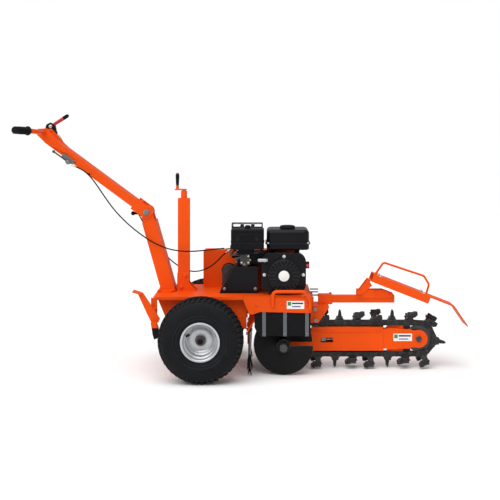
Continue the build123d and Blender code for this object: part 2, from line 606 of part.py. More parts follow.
with BuildPart() as drive_sprocket:
    with BuildSketch(Plane.XZ.offset(-7)) as toothed:
        with Locations((HEAD_X, HEAD_Z)):
            Circle(CHAIN_R - 20)
        for index in range(TEETH):
            angle = pi / 2 + (index + 0.5) * 2 * pi / TEETH
            reach = CHAIN_R - 12
            with Locations(Location((HEAD_X + reach / 2 * cos(angle), HEAD_Z + reach / 2 * sin(angle)),
                                    degrees(angle))):
                Rectangle(reach, 15)
        with Locations((HEAD_X, HEAD_Z)):
            Circle(SHAFT_R, mode=Mode.SUBTRACT)
    extrude(toothed.sketch, amount=14)
AUGER_Y0, AUGER_Y1 = -186.0, -84.0
with BuildPart() as auger_flight:
    with BuildLine() as guide:
        Helix(pitch=94, height=94, radius=80)
    with BuildSketch(Plane(origin=guide.line @ 0, x_dir=(1, 0, 0), z_dir=guide.line % 0)) as flight:
        Rectangle(2 * (AUGER_R - 80), 5)
    sweep(flight.sketch, path=guide.line, is_frenet=True)
with BuildPart() as auger_tube:
    with BuildSketch() as ring:
        Circle(30)
        Circle(SHAFT_R, mode=Mode.SUBTRACT)
    extrude(ring.sketch, amount=AUGER_Y1 - AUGER_Y0)
auger_stand = Plane(origin=(HEAD_X, AUGER_Y0, HEAD_Z), x_dir=(1, 0, 0), z_dir=(0, 1, 0))
auger = auger_stand * (auger_tube.part + Pos(0, 0, 4) * auger_flight.part)
print("auger", auger.volume, len(auger.solids()), auger.is_valid)
save(auger, "auger")

print("centres", round(CENTRES, 2), "nose", round(NOSE_X, 2), "pins", len(PINS), "R", round(CHAIN_R, 2))

# ---- belt and chain drive on the far side ----------------------------------------------------------
BELT_Y0, BELT_Y1 = 148.0, 170.0
SMALL_PULLEY_R, LARGE_PULLEY_R = 34.0, 78.0
SMALL_SPROCKET_R, LARGE_SPROCKET_R = 24.0, 66.0
GUARD_Y1 = 186.0


def pulley(x, z, radius, bore):
    """V-belt pulley on a shaft along Y."""
    width = BELT_Y1 - BELT_Y0
    with BuildSketch(Plane.XZ) as half:
        with BuildLine():
            Polyline((bore, 0), (radius, 0), (radius, 3), (radius - 10, 8), (radius - 10, width - 8),
                     (radius, width - 3), (radius, width), (bore, width), close=True)
        make_face()
    with BuildPart(mode=Mode.PRIVATE) as wheel:
        revolve(half.sketch, axis=Axis.Z)
    stand = Plane(origin=(x, BELT_Y0, z), x_dir=(1, 0, 0), z_dir=(0, 1, 0))
    return stand * wheel.part


def belt_loop(small, small_r, large, large_r, y0, y1, thick):
    """Flat loop round two circles given as (x, z) centres."""
    run = Vector(large[0] - small[0], large[1] - small[1])
    with BuildSketch(Plane.XZ.offset(-y1)) as loop:
        for grow, how in ((thick, Mode.ADD), (0.0, Mode.SUBTRACT)):
            with BuildSketch(mode=Mode.PRIVATE) as shape:
                with Locations(small):
                    Circle(small_r + grow)
                with Locations(large):
                    Circle(large_r + grow)
                make_hull()
            add(shape.sketch_local, mode=how)
    with BuildPart(mode=Mode.PRIVATE) as band:
        extrude(loop.sketch, amount=y1 - y0)
    return band.part


with BuildPart() as crankshaft:
    cross_rod(ENGINE_X, ENGINE_Z, -132, 174, 12)
    cross_rod(ENGINE_X, ENGINE_Z, -133, -116, 74)
    cross_rod(ENGINE_X, ENGINE_Z, -30, 30, 34)
save(crankshaft.part + pulley(ENGINE_X, ENGINE_Z, SMALL_PULLEY_R, 11.9), "crankshaft")

with BuildPart() as jackshaft:
    cross_rod(JACK_X, JACK_Z, 70, 174, 12)
    cross_rod(JACK_X, JACK_Z, 117, 127, SMALL_SPROCKET_R)
save(jackshaft.part + pulley(JACK_X, JACK_Z, LARGE_PULLEY_R, 11.9), "jackshaft")

with BuildPart() as driven_sprocket:
    cross_rod(HEAD_X, HEAD_Z, 117, 127, LARGE_SPROCKET_R)
    cross_rod(HEAD_X, HEAD_Z, 112, 132, 28)
    cross_rod(HEAD_X, HEAD_Z, 100, 140, SHAFT_R, Mode.SUBTRACT)
head_sprockets = Compound(children=[drive_sprocket.part.solid(), driven_sprocket.part.solid()])
save(head_sprockets, "head_sprockets")

save(belt_loop((ENGINE_X, ENGINE_Z), SMALL_PULLEY_R - 9.5, (JACK_X, JACK_Z), LARGE_PULLEY_R - 9.5,
               BELT_Y0 + 8.5, BELT_Y1 - 8.5, 9), "drive_belt")
save(belt_loop((JACK_X, JACK_Z), SMALL_SPROCKET_R + 0.5, (HEAD_X, HEAD_Z), LARGE_SPROCKET_R + 0.5,
               117.5, 126.5, 8), "drive_chain")

with BuildPart() as bearings:
    for side in (-1, 1):
        with BuildSketch(Plane.XZ.offset(-side * 74)) as housing:
            with Locations((HEAD_X, HEAD_Z)):
                Circle(36)
                Circle(SHAFT_R + 0.05, mode=Mode.SUBTRACT)
        extrude(housing.sketch, amount=side * 7.9)
        for angle in (45, 135, 225, 315):
            hex_head((HEAD_X + 29 * cos(radians(angle)), side * 74, HEAD_Z + 29 * sin(radians(angle))),
                     (0, side, 0), 10, 5)
    block(JACK_X - 32, JACK_X + 32, 74, 98, DECK_TOP, JACK_Z)
    cross_rod(JACK_X, JACK_Z, 74, 98, 32)
    cross_rod(JACK_X, JACK_Z, 60, 110, 12.05, Mode.SUBTRACT)
save(bearings.part, "bearings")

with BuildPart() as belt_guard:
    block(-214, 232, 102, GUARD_Y1, DECK_TOP, 545)
    fillet(belt_guard.edges().filter_by(Axis.Y), 12)
    block(-211, 229, 105, GUARD_Y1 - 3, DECK_TOP - 5, 542, Mode.SUBTRACT)
    cross_rod(JACK_X, JACK_Z, 100, 110, 36, Mode.SUBTRACT)
    cross_rod(ENGINE_X, ENGINE_Z, 100, 110, 36, Mode.SUBTRACT)
save(belt_guard.part, "belt_guard")

with BuildPart() as chain_case:
    case_outline = [(-83, 361), (102, 92), (122, 67), (150, 58), (190, 58), (226, 82), (246, 118),
                    (248, 160), (230, 191), (57, 361)]
    side_profile(case_outline, CASE_Y0, CASE_Y1)
    side_profile(case_outline, CASE_Y0 + 3, CASE_Y1 - 3, Mode.SUBTRACT, inset=3)
    block(-77, 51, CASE_Y0 + 3, CASE_Y1 - 3, 350, 365, Mode.SUBTRACT)
    cross_rod(HEAD_X, HEAD_Z, CASE_Y0 - 5, CASE_Y1 - 2, SHAFT_R + 3, Mode.SUBTRACT)
save(chain_case.part, "chain_case")

with BuildPart() as drive_cover:
    # black cover between the mast and the engine
    side_profile([(-127, 365), (-60, 489), (52, 489), (52, 365)], -96, 60)
    side_profile([(-124, 360), (-57.5, 486), (49, 486), (49, 360)], -93, 70, Mode.SUBTRACT)
save(drive_cover.part, "drive_cover")

# ---- engine ---------------------------------------------------------------------------------------
with BuildPart() as engine_block:
    block(84, 262, -100, 84, DECK_TOP + 8, 528)
    fillet(engine_block.edges().filter_by(Axis.Y), 22)
    block(92, 254, -96, 80, DECK_TOP, DECK_TOP + 12)
    cross_rod(ENGINE_X, ENGINE_Z, 84, 94, 48)
    # cylinder, its fins and the head
    block(-18, 86, -42, 42, 495, 545)
    for index in range(9):
        x = -12 + index * 10.5
        block(x, x + 3.2, -58, 62, 492, 562)
    block(-46, -18, -46, 48, 492, 556)
    cross_rod(ENGINE_X, ENGINE_Z, -110, 110, 12.05, Mode.SUBTRACT)
    cross_rod(ENGINE_X, ENGINE_Z, -32, 32, 36, Mode.SUBTRACT)
save(engine_block.part, "engine_block")

SHROUD_Y0, SHROUD_Y1 = -140.0, -101.0
with BuildPart() as recoil_housing:
    block(69, 273, SHROUD_Y0, SHROUD_Y1, 374, 556)
    fillet(recoil_housing.edges().filter_by(Axis.Y), 40)
    cross_rod(ENGINE_X, ENGINE_Z, SHROUD_Y0 - 24, SHROUD_Y0, 76)
    fillet(recoil_housing.faces().sort_by(Axis.Y)[0].edges(), 14)
    cross_rod(ENGINE_X, ENGINE_Z, SHROUD_Y0 - 31, SHROUD_Y0 - 22, 40)
    cross_rod(ENGINE_X, ENGINE_Z, SHROUD_Y0 + 4, SHROUD_Y1 + 2, 78, Mode.SUBTRACT)
save(recoil_housing.part, "recoil_housing")

TANK_Z0, TANK_Z1 = 566.0, 660.0
with BuildPart() as fuel_tank:
    block(92, 290, -104, 100, TANK_Z0, TANK_Z1)
    fillet(fuel_tank.edges().filter_by(Axis.Z), 26)
    fillet(fuel_tank.faces().sort_by(Axis.Z)[-1].edges(), 18)
    fillet(fuel_tank.faces().sort_by(Axis.Z)[0].edges(), 8)
    with BuildSketch(Plane.XY.offset(592)) as seam:
        with Locations((191, -2)):
            RectangleRounded(210, 216, 30)
    extrude(seam.sketch, amount=5)
    block(104, 128, -60, 60, 528, TANK_Z0 + 2)
    block(222, 246, -60, 60, 528, TANK_Z0 + 2)
save(fuel_tank.part, "fuel_tank")

with BuildPart() as fuel_cap:
    rod((190, -30, TANK_Z1 + 0.3), (190, -30, TANK_Z1 + 17), 36)
    fillet(fuel_cap.faces().sort_by(Axis.Z)[-1].edges(), 5)
save(fuel_cap.part, "fuel_cap")

with BuildPart() as air_cleaner:
    block(-73, 80, -138, -22, 573, 666)
    fillet(air_cleaner.edges().filter_by(Axis.Z), 16)
    fillet(air_cleaner.faces().sort_by(Axis.Z)[-1].edges(), 8)
    block(-40, 30, -110, -60, 548, 574)
save(air_cleaner.part, "air_cleaner")

with BuildPart() as muffler:
    block(-66, 66, -8, 78, 578, 652)
    fillet(muffler.edges().filter_by(Axis.X), 24)
    rod((-30, 30, 562.2), (-30, 30, 580), 14)
save(muffler.part, "muffler")

with BuildPart() as muffler_guard:
    block(-74, 74, -16, 88, 572, 682)
    fillet(muffler_guard.edges().filter_by(Axis.X), 22)
    block(-71, 71, -13, 85, 560, 679, Mode.SUBTRACT)
    # windows under the top frame, slots below and on top
    for x in (-68, -17, 34):
        block(x, x + 34, -30, 100, 660, 675, Mode.SUBTRACT)
    for index in range(5):
        x = -56 + index * 26
        block(x, x + 13, -30, 100, 600, 650, Mode.SUBTRACT)
        block(x, x + 13, 12, 60, 670, 690, Mode.SUBTRACT)
save(muffler_guard.part, "muffler_guard")

with BuildPart() as carburettor:
    block(-30, 14, -98, -60, 498, 546)
    cross_rod(-8, 520, -60, -58.1, 17)
    rod((-8, -80, 491), (-8, -80, 498), 17)
    cross_rod(-20, 536, -112, -98, 5)
    # bracket that the two cables end on
    block(-78, -75, -84, -24, 538, 584)
    block(-75, -30, -84, -62, 538, 544)
    # switch box on the side of the shroud
    block(273.2, 288, -134, -106, 486, 514)
save(carburettor.part, "carburettor")

with BuildPart() as choke_lever:
    cross_rod(-20, 536, -116, -112.2, 9)
    sloping_box((-20, 536), (-48, 528), 8, -116, -112.2)
    cross_rod(-48, 528, -122, -112.2, 6)
save(choke_lever.part, "choke_lever")

with BuildPart() as starter_grip:
    rod((50, -152, 525), (98, -152, 525), 9)
    fillet(starter_grip.edges(), 4)
    rod((76, -152, 525), (84, -147, 515), 5)
save(starter_grip.part, "starter_grip")

with BuildPart() as switch_knob:
    cross_rod(280.5, 500, -144, -134.2, 7)
    block(278.5, 282.5, -150, -144, 492, 508)
save(switch_knob.part, "switch_knob")

OIL_Y, OIL_Z = -76.0, 412.0
with BuildPart() as oil_cap:
    rod((83.8, OIL_Y, OIL_Z), (74, OIL_Y, OIL_Z), 13)
    block(66, 74, OIL_Y - 11, OIL_Y + 11, OIL_Z - 2.5, OIL_Z + 2.5)
save(oil_cap.part, "oil_cap")

# ---- guard beam and crumb guard ----------------------------------------------------------------------
SLEEVE_X0, SLEEVE_X1 = 336.0, 402.0
HALF_BEAM = BEAM_W / 2
with BuildPart() as beam_sleeve:
    block(SLEEVE_X0, SLEEVE_X1, -23, 23, BEAM_Z - 24, BEAM_Z + 22)
    block(SLEEVE_X0 + 3, SLEEVE_X1 + 5, -HALF_BEAM - 0.05, HALF_BEAM + 0.05, BEAM_Z - HALF_BEAM - 0.05,
          BEAM_Z + HALF_BEAM + 0.05, Mode.SUBTRACT)
    block(296, SLEEVE_X1 - 20, -62, 62, BEAM_Z - 32, BEAM_Z - 24)
    for side in (-1, 1):
        plate_y = sorted((side * 56, side * 62))
        side_profile([(296, 345), (296, 222), (334, 222), (384, 292), (384, 302), (312, 302), (312, 345)],
                     *plate_y)
    rod((SLEEVE_X1 - 8, 0, BEAM_Z + 22), (SLEEVE_X1 - 8, 0, BEAM_Z + 30), 5)
save(beam_sleeve.part, "beam_sleeve")

with BuildPart() as guard_beam:
    block(340, 696, -HALF_BEAM, HALF_BEAM, BEAM_Z - HALF_BEAM, BEAM_Z + HALF_BEAM)
    block(344, 692, -HALF_BEAM + 3, HALF_BEAM - 3, BEAM_Z - HALF_BEAM + 3, BEAM_Z + HALF_BEAM - 3,
          Mode.SUBTRACT)
    for side in (-1, 1):
        plate_y = sorted((side * HALF_BEAM, side * (HALF_BEAM + 5)))
        side_profile([(518, 330), (690, 330), (690, 352), (640, 371), (518, 371)], *plate_y)
        cross_rod(GUARD_X, GUARD_Z, side * 10, side * 30, 5.05, Mode.SUBTRACT)
    # pivot bolt of the crumb guard, and the bolts of the bracket plates
    cross_rod(GUARD_X, GUARD_Z, -32, 32, 5)
    for side in (-1, 1):
        hex_head((GUARD_X, side * 32, GUARD_Z), (0, side, 0), 16, 7)
        for x, z in ((606, 357), (676, 342)):
            hex_head((x, side * (HALF_BEAM + 5), z), (0, side, 0), 13, 6)
save(guard_beam.part, "guard_beam")

CHANNEL_START, CHANNEL_END = (589.0, 431.0), (855.0, 327.0)
with BuildPart() as crumb_guard:
    # arms up from the pivot, tilted channel, and the bent tail plate
    for side in (-1, 1):
        arm_y = sorted((side * 22.3, side * 27))
        side_profile([(GUARD_X - 13, 350), (GUARD_X + 10, 347), (606, 405), (600, 440), (584, 440)], *arm_y)
        cross_rod(GUARD_X, GUARD_Z, side * 10, side * 30, 5.05, Mode.SUBTRACT)
    sloping_box(CHANNEL_START, CHANNEL_END, 36, -60, 60)
    sloping_box(along(CHANNEL_START, CHANNEL_END, -0.05), along(CHANNEL_START, CHANNEL_END, 1.05), 32,
                -56, 56, Mode.SUBTRACT)
    lower_shift = (-9.5, -24.2)
    sloping_box((CHANNEL_START[0] + lower_shift[0], CHANNEL_START[1] + lower_shift[1]),
                (CHANNEL_END[0] + lower_shift[0], CHANNEL_END[1] + lower_shift[1]), 16, -56, 56,
                Mode.SUBTRACT)
    side_profile([(848, 346), (862, 343), (972, 300), (1036, 206), (1031, 203), (968, 296), (862, 337)],
                 -60, 60)
    bent_tube([(600, 0, 430), (646, 0, 497), (838, 0, 433), (862, 0, 393), (846, 0, 340)], [14, 20, 22], 5)
save(crumb_guard.part, "crumb_guard")

# ---- wheel lock ---------------------------------------------------------------------------------------
with BuildPart() as wheel_lock:
    cross_rod(LOCK_X, LOCK_Z, -250, -207, 16)
    cross_rod(LOCK_X, LOCK_Z, -216, -188, 6)
    side_profile([(-486, 392), (-462, 392), (-386, 276), (-392, 260), (-424, 260), (-444, 300)],
                 -262, -250)
    side_profile([(-506, 402), (-468, 390), (-470, 385), (-508, 397)], -280, -226)
    # rubber-faced shoe
    side_profile([(-424, 262), (-398, 262), (-391, 240), (-391, 196), (-408, 190), (-414, 210)],
                 -290, -262.2)
save(wheel_lock.part, "wheel_lock")

# ---- fasteners ----------------------------------------------------------------------------------------
with BuildPart() as fasteners:
    for y in SKIRT_BOLT_Y:
        rod((-2, y, SKIRT_BOLT_Z), (24, y, SKIRT_BOLT_Z), 4)
        hex_head((4, y, SKIRT_BOLT_Z), (-1, 0, 0), 13, 6)
        hex_head((20, y, SKIRT_BOLT_Z), (1, 0, 0), 13, 6)
    for side in (-1, 1):
        for x, z in ((318, 286), (322, 234)):
            hex_head((x, side * 62, z), (0, side, 0), 17, 8)
        cross_rod(PIVOT_X, PIVOT_Z, *sorted((side * 50.2, side * 54)), 14)
        hex_head((PIVOT_X, side * 54, PIVOT_Z), (0, side, 0), 22, 8)
    cross_rod(PIVOT_X, PIVOT_Z, -56, 56, 8)
    # adjuster rods between the deck and the sleeve
    for y, z in ((-20, 374), (0, 358), (16, 340)):
        rod((DECK_X1 + 0.1, y, z), (SLEEVE_X0 - 0.1, y, z), 3.5)
save(fasteners.part, "fasteners")
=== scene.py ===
import bpy
import bmesh
from math import atan2, cos, hypot, pi, radians, sin
from mathutils import Matrix, Vector


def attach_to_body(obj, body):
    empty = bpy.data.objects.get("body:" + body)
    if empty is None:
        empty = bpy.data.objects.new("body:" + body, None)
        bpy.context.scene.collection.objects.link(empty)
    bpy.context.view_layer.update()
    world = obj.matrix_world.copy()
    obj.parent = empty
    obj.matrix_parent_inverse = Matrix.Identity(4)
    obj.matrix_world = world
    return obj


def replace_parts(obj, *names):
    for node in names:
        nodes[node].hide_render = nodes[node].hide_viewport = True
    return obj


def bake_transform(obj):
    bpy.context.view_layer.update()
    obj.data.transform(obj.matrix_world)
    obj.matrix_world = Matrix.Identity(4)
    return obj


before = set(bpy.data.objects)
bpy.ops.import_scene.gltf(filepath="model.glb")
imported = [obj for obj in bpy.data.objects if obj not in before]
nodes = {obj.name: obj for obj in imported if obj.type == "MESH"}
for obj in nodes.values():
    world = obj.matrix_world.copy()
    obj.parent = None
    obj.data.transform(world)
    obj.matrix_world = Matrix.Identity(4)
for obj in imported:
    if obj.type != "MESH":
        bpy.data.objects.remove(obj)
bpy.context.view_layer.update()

# Walk-behind trencher: metres, +X towards the digging boom, +Z up, camera on the -Y side.
scene = bpy.context.scene

# ---- camera ---------------------------------------------------------------------------------
camera_data = bpy.data.cameras.new("camera")
camera_data.lens = 69.55
camera_data.sensor_width = 36.0
camera_data.shift_x = -0.03
camera_data.shift_y = -0.208
camera = bpy.data.objects.new("camera", camera_data)
scene.collection.objects.link(camera)
camera.location = (0.0844, -4.58, 1.049)
camera.rotation_euler = (pi / 2, 0, 0)
scene.camera = camera
scene.view_settings.view_transform = "Standard"


# ---- materials ------------------------------------------------------------------------------
def material(name, color, rough, metallic=0.0, tone=0.12, tone_scale=9.0, grain=0.0, grain_scale=600.0,
             rough_spread=0.08, edge_highlight=None, edge_radius=0.0015, coat=0.0, top_tint=0.0,
             top_tint_color=(0.5, 0.44, 0.36), specular=0.5):
    """Procedural finish: tone variation, uneven gloss, fine bump, a painted highlight along edges and a second colour
    mixed into upward-facing faces.
    """
    mat = bpy.data.materials.new(name)
    mat.use_nodes = True
    tree = mat.node_tree
    shader = tree.nodes["Principled BSDF"]
    link = tree.links.new
    shader.inputs["Metallic"].default_value = metallic
    shader.inputs["Coat Weight"].default_value = coat
    shader.inputs["Coat Roughness"].default_value = 0.12
    shader.inputs["Specular IOR Level"].default_value = specular
    place = tree.nodes.new("ShaderNodeTexCoord")

    cloud = tree.nodes.new("ShaderNodeTexNoise")
    cloud.inputs["Scale"].default_value = tone_scale
    cloud.inputs["Detail"].default_value = 6.0
    link(place.outputs["Object"], cloud.inputs["Vector"])
    shade = tree.nodes.new("ShaderNodeValToRGB")
    low = [c * (1 - tone) for c in color]
    high = [min(1.0, c * (1 + tone)) for c in color]
    shade.color_ramp.elements[0].position = 0.32
    shade.color_ramp.elements[0].color = (*low, 1)
    shade.color_ramp.elements[1].position = 0.68
    shade.color_ramp.elements[1].color = (*high, 1)
    link(cloud.outputs["Fac"], shade.inputs["Fac"])
    colour = shade.outputs["Color"]

    speck = tree.nodes.new("ShaderNodeTexNoise")
    speck.inputs["Scale"].default_value = grain_scale
    speck.inputs["Detail"].default_value = 3.0
    link(place.outputs["Object"], speck.inputs["Vector"])

    gloss = tree.nodes.new("ShaderNodeMapRange")
    gloss.inputs["From Min"].default_value = 0.3
    gloss.inputs["From Max"].default_value = 0.7
    gloss.inputs["To Min"].default_value = max(0.03, rough - rough_spread)
    gloss.inputs["To Max"].default_value = min(1.0, rough + rough_spread)
    link(cloud.outputs["Fac"], gloss.inputs["Value"])
    link(gloss.outputs["Result"], shader.inputs["Roughness"])

    # Upward-facing faces are mixed toward a second colour, patchy with the tone noise.
    if top_tint > 0:
        facing = tree.nodes.new("ShaderNodeNewGeometry")
        split = tree.nodes.new("ShaderNodeSeparateXYZ")
        link(facing.outputs["Normal"], split.inputs["Vector"])
        top_tint_mask = tree.nodes.new("ShaderNodeMapRange")
        top_tint_mask.inputs["From Min"].default_value = 0.2
        top_tint_mask.inputs["From Max"].default_value = 1.0
        top_tint_mask.inputs["To Max"].default_value = top_tint
        link(split.outputs["Z"], top_tint_mask.inputs["Value"])
        patch = tree.nodes.new("ShaderNodeMath")
        patch.operation = "MULTIPLY"
        link(top_tint_mask.outputs["Result"], patch.inputs[0])
        link(cloud.outputs["Fac"], patch.inputs[1])
        mix = tree.nodes.new("ShaderNodeMixRGB")
        mix.inputs["Color2"].default_value = (*top_tint_color, 1)
        link(patch.outputs["Value"], mix.inputs["Fac"])
        link(colour, mix.inputs["Color1"])
        colour = mix.outputs["Color"]

    normal = None
    if grain > 0:
        bump = tree.nodes.new("ShaderNodeBump")
        bump.inputs["Strength"].default_value = grain
        bump.inputs["Distance"].default_value = 0.0006
        link(speck.outputs["Fac"], bump.inputs["Height"])
        normal = bump
    # Painted highlight: where the bevel normal turns away from the face normal, the colour is mixed toward a lighter
    # edge colour along rounded edges.
    if edge_highlight:
        bevel = tree.nodes.new("ShaderNodeBevel")
        bevel.samples = 4
        bevel.inputs["Radius"].default_value = edge_radius
        flat = tree.nodes.new("ShaderNodeNewGeometry")
        dot = tree.nodes.new("ShaderNodeVectorMath")
        dot.operation = "DOT_PRODUCT"
        link(bevel.outputs["Normal"], dot.inputs[0])
        link(flat.outputs["Normal"], dot.inputs[1])
        edge_highlight_mask = tree.nodes.new("ShaderNodeMapRange")
        edge_highlight_mask.inputs["From Min"].default_value = 0.995
        edge_highlight_mask.inputs["From Max"].default_value = 0.90
        edge_highlight_mask.inputs["To Max"].default_value = 0.75
        link(dot.outputs["Value"], edge_highlight_mask.inputs["Value"])
        edge_highlight_mix = tree.nodes.new("ShaderNodeMixRGB")
        edge_highlight_mix.inputs["Color2"].default_value = (*edge_highlight, 1)
        link(edge_highlight_mask.outputs["Result"], edge_highlight_mix.inputs["Fac"])
        link(colour, edge_highlight_mix.inputs["Color1"])
        colour = edge_highlight_mix.outputs["Color"]
        if normal:
            link(bevel.outputs["Normal"], normal.inputs["Normal"])
        else:
            link(bevel.outputs["Normal"], shader.inputs["Normal"])
    if normal:
        link(normal.outputs["Normal"], shader.inputs["Normal"])
    link(colour, shader.inputs["Base Color"])
    return mat


# Each edge colour below is a painted highlight along that finish's edges.
ORANGE = material("orange_powder_coat", (0.78, 0.074, 0.001), 0.50, tone=0.06, tone_scale=5.0, grain=0.10,
                  grain_scale=900.0, edge_highlight=(0.92, 0.17, 0.02), coat=0.0, specular=0.14)
BLACK_PAINT = material("black_enamel", (0.004, 0.004, 0.006), 0.38, tone=0.25, grain=0.10, grain_scale=800.0,
                       edge_highlight=(0.07, 0.07, 0.08), coat=0.08, top_tint=0.03, top_tint_color=(0.08, 0.08, 0.09),
                       specular=0.12)
CASTING = material("black_casting", (0.008, 0.008, 0.010), 0.52, metallic=0.15, tone=0.3, tone_scale=30,
                   grain=0.5, grain_scale=350.0, edge_highlight=(0.09, 0.09, 0.10), top_tint=0.05,
                   top_tint_color=(0.10, 0.10, 0.11), specular=0.28)
BLACK_PLASTIC = material("black_moulded_plastic", (0.004, 0.004, 0.006), 0.50, tone=0.2, grain=0.35,
                         grain_scale=1400.0, edge_highlight=(0.05, 0.05, 0.055), top_tint=0.03,
                         top_tint_color=(0.08, 0.08, 0.09), specular=0.12)
RUBBER = material("black_rubber", (0.006, 0.006, 0.007), 0.68, tone=0.28, tone_scale=16, grain=0.4,
                  grain_scale=700.0, top_tint=0.05, top_tint_color=(0.06, 0.057, 0.055), specular=0.12)
TYRE = material("tyre_rubber", (0.007, 0.0073, 0.009), 0.72, tone=0.3, tone_scale=22, grain=0.6,
                grain_scale=520.0, edge_highlight=(0.050, 0.050, 0.050), edge_radius=0.002, top_tint=0.06,
                top_tint_color=(0.08, 0.075, 0.07), specular=0.13)
DARK_STEEL = material("dark_oiled_steel", (0.070, 0.068, 0.068), 0.42, metallic=0.75, tone=0.35,
                      tone_scale=38, grain=0.45, grain_scale=420.0, edge_highlight=(0.30, 0.29, 0.27),
                      rough_spread=0.14)
CHAIN_STEEL = material("chain_steel", (0.028, 0.027, 0.028), 0.48, metallic=0.55, tone=0.5, tone_scale=55,
                       grain=0.6, grain_scale=480.0, edge_highlight=(0.20, 0.19, 0.18), rough_spread=0.15, specular=0.3)
FASTENER = material("dull_zinc_fastener", (0.22, 0.22, 0.21), 0.42, metallic=0.9, tone=0.2, tone_scale=60,
                    grain=0.2, grain_scale=900.0, edge_highlight=(0.5, 0.5, 0.48), rough_spread=0.10)
GREY_STEEL = material("grey_strip_steel", (0.12, 0.13, 0.145), 0.50, metallic=0.4, tone=0.15, tone_scale=30,
                      grain=0.2, grain_scale=700.0, edge_highlight=(0.5, 0.5, 0.5), rough_spread=0.10)
ZINC = material("zinc_plate", (0.60, 0.60, 0.57), 0.30, metallic=1.0, tone=0.12, tone_scale=60, grain=0.15,
                grain_scale=900.0, edge_highlight=(0.9, 0.9, 0.88), rough_spread=0.10)
SILVER = material("silver_lacquer", (0.50, 0.51, 0.53), 0.34, metallic=0.55, tone=0.10, tone_scale=14,
                  grain=0.12, grain_scale=1100.0, edge_highlight=(0.80, 0.81, 0.83), coat=0.3, top_tint=0.12)
RED = material("red_gloss_plastic", (0.50, 0.010, 0.022), 0.34, tone=0.08, grain=0.08, grain_scale=900,
               edge_highlight=(0.85, 0.15, 0.15), coat=0.3)
LABEL = material("label_film", (0.80, 0.80, 0.78), 0.35, tone=0.03, tone_scale=40, grain=0.05, coat=0.2)
BRASS = material("brass", (0.55, 0.36, 0.12), 0.32, metallic=1.0, tone=0.15, tone_scale=80, grain=0.15)
ROPE = material("starter_rope", (0.72, 0.71, 0.66), 0.85, tone=0.25, tone_scale=700, grain=0.9,
                grain_scale=1500)
GREEN = material("label_green", (0.03, 0.22, 0.06), 0.35, tone=0.04, tone_scale=40, grain=0.05)
BLUE = material("label_blue", (0.02, 0.08, 0.30), 0.35, tone=0.04, tone_scale=40, grain=0.05)
AUGER = material("auger_steel", (0.005, 0.005, 0.006), 0.50, specular=0.15, tone=0.4, tone_scale=12,
                 grain=0.3, grain_scale=260.0, edge_highlight=(0.28, 0.27, 0.26), rough_spread=0.16)


def paint(node, mat):
    """Give a carried-over node its finish."""
    slots = nodes[node].material_slots
    if len(slots) == 0:
        nodes[node].data.materials.append(mat)
    for item in slots:
        item.material = mat


FINISHES = {
    ORANGE: ("deck_frame side_plates deflector lift_handles mast lower_arm beam_sleeve chain_case belt_guard "
             "axle_carriage upper_arm handlebar boom nose_slide guard_beam crumb_guard wheel_lock "
             "crank"),
    GREY_STEEL: "curtain_clamps",
    DARK_STEEL: ("axle_nuts head_shaft bearings drive_chain muffler carburettor crankshaft jackshaft "
                 "throttle_lever head_sprockets nose_roller choke_lever"),
    CHAIN_STEEL: "digging_chain chain_cutters",
    BLACK_PAINT: "drive_cover recoil_housing fuel_tank muffler_guard",
    CASTING: "engine_block",
    BLACK_PLASTIC: "air_cleaner lever_mounts crank_grip lock_pin fuel_cap starter_grip oil_cap",
    FASTENER: "fasteners tension_screw",
    SILVER: "rim_right rim_left",
    TYRE: "tyre_right tyre_left",
    RUBBER: "rubber_curtains drive_belt throttle_cable clutch_cable grips",
    RED: "clutch_lever switch_knob",
    AUGER: "auger",
}
for finish, names in FINISHES.items():
    for node_name in names.split():
        paint(node_name, finish)


# ---- mesh helpers -----------------------------------------------------------------------------
def aim(point, direction):
    """Matrix whose Z runs along direction from point."""
    turn = Vector(direction).normalized().to_track_quat("Z", "Y").to_matrix().to_4x4()
    return Matrix.Translation(Vector(point)) @ turn


# turns an (x, -z) outline upright, to be raised along Y
SIDE_ON = Matrix.Rotation(-pi / 2, 4, "X")


